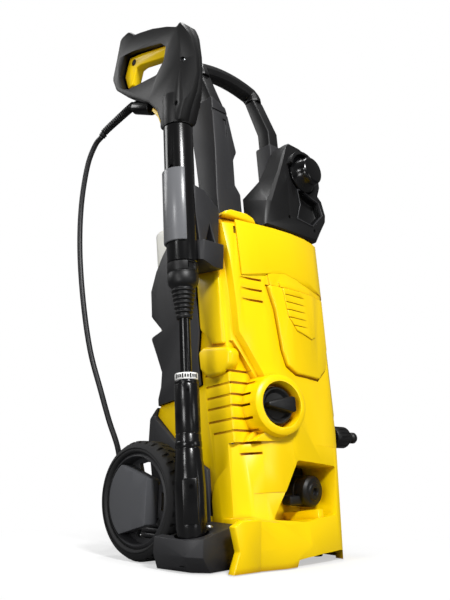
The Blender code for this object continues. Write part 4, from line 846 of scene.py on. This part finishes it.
class WASHER_OT_fittings(bpy.types.Operator):
    """Switch, dosing unit, water inlet, hose outlet, handle grip and holder."""
    bl_idname = "washer.fittings"
    bl_label = "Fittings"

    def execute(self, context):
        self.console()
        self.inlet()
        self.grip()
        self.holder()
        refined("switch_knob", 0.0010)
        refined("outlet_fitting", 0.0005)
        return {"FINISHED"}

    def console(self):
        console = loose("dosing_console")
        spots = ((0.034, 0.541), (0.099, 0.531))
        front = (math.pi / 2, 0, 0)
        holes = [drum(0.0030, -0.002, 0.030, LEANING, (x, -0.004, w), front) for x, w in spots]
        finished(combine(console, holes), "dosing_console", 0.0014)
        pocket = [(62, 598), (74, 601), (100, 592), (119, 588), (127, 566), (95, 538), (54, 543), (66, 572)]
        middle = Vector((0.090, 0.570))
        wide = [tuple(middle + (Vector(p) - middle) * 1.03) for p in mm(pocket)]
        tight = [tuple(middle + (Vector(p) - middle) * 0.955) for p in mm(pocket)]
        rim = combine(plate(wide, -0.0212, -0.0165, FACE), [plate(tight, -0.03, 0.0, FACE)])
        set_down(soften(rim, 0.0005, 40, 1), "console_pocket_rim", FINISH["grey_pp"], "machine")
        refined("dosing_knob", 0.0009)

    def inlet(self):
        nut = loose("inlet_nut")
        low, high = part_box("inlet_nut")
        middle = (Vector(low) + Vector(high)) / 2
        spot = Matrix.Translation(middle) @ Euler((0, math.pi / 2, 0)).to_matrix().to_4x4()
        half = (high[0] - low[0]) / 2
        cuts = []
        count = 16
        for i in range(count):
            about = spot @ Matrix.Rotation(2 * math.pi * i / count, 4, "Z")
            cuts.append(brick((0.0166, -0.0010, -half + 0.006), (0.0190, 0.0010, half - 0.004), about))
        finished(combine(nut, [together(cuts)]), "inlet_nut", 0.0004)
        refined("inlet_nipple", 0.0003)

    def grip(self):
        grip = loose("handle_grip")
        # finger grooves across the grip's underside, which arches towards its middle
        cuts = []
        for i in range(13):
            x = -0.048 + 0.008 * i
            t = x / GRIP_REACH
            w = ELBOW_W + 0.008 * (1 - t * t) - GRIP_RADIUS
            spot = (x, 0.067, w - 0.0006)
            cuts.append(drum(0.0022, -0.020, 0.020, LEANING, spot, (math.pi / 2, 0, 0), 12))
        finished(combine(grip, [together(cuts)]), "handle_grip", 0.0006)

    def holder(self):
        refined("accessory_holder", 0.0012)
        spot = Matrix.Translation(SHIFT + Vector((-0.1560, -0.1000, 0.0560)))
        screw = turned([(0.0010, 0.0), (0.0052, 0.0), (0.0052, 0.0008), (0.0040, 0.0026),
                        (0.0016, 0.0030), (0.0010, 0.0016)], spot, 24)
        set_down(soften(screw, 0.0, 40), "holder_screw", FINISH["zinc_steel"], "machine")


class WASHER_OT_mouldings(bpy.types.Operator):
    """Every moulded and metal part of the frame, with its edges softened and its finish."""
    bl_idname = "washer.mouldings"
    bl_label = "Mouldings"

    def execute(self, context):
        for node in sorted(set(NODES) - SHAPED):
            refined(node)
        return {"FINISHED"}


class WASHER_PT_panel(bpy.types.Panel):
    """Lists the washer's operators and settings."""
    bl_label = "Pressure washer"
    bl_idname = "WASHER_PT_panel"
    bl_space_type = "VIEW_3D"
    bl_region_type = "UI"
    bl_category = "Washer"

    def draw(self, context):
        for group in (context.scene.washer_colours, context.scene.washer_sizes):
            for key in group.__annotations__:
                self.layout.prop(group, key)
        for step in STEPS:
            self.layout.operator(step.bl_idname)


# nodes that an operator of their own stands for
SHAPED = {"pressure_hose", "hose_coil", "hose_connector", "bend_relief", "left_tyre", "right_tyre",
          "left_rim", "right_rim", "left_hub_plate", "right_hub_plate", "front_cover", "brand_band",
          "tower_cap", "left_column", "gun_shell_left", "gun_shell_right", "trigger", "trigger_lock",
          "release_tab", "hose_collar", "gun_barrel", "barrel_cover", "lance_collar", "lance_tube",
          "setting_ring", "nozzle_head", "dosing_console", "dosing_knob", "inlet_nut", "inlet_nipple",
          "handle_grip", "accessory_holder", "switch_knob", "outlet_fitting"}
STEPS = (WASHER_OT_stage, WASHER_OT_hose, WASHER_OT_wheels, WASHER_OT_front, WASHER_OT_gun,
         WASHER_OT_fittings, WASHER_OT_mouldings)
CLASSES = (WasherColours, WasherSizes, *STEPS, WASHER_PT_panel)


def register():
    for cls in CLASSES:
        bpy.utils.register_class(cls)
    bpy.types.Scene.washer_colours = bpy.props.PointerProperty(type=WasherColours)
    bpy.types.Scene.washer_sizes = bpy.props.PointerProperty(type=WasherSizes)


def unregister():
    del bpy.types.Scene.washer_sizes
    del bpy.types.Scene.washer_colours
    for cls in reversed(CLASSES):
        bpy.utils.unregister_class(cls)


def main():
    register()
    FINISH.update(make_finishes())
    for step in STEPS:
        group, name = step.bl_idname.split(".")
        getattr(getattr(bpy.ops, group), name)()
    bpy.context.view_layer.update()


if __name__ == "__main__":
    main()
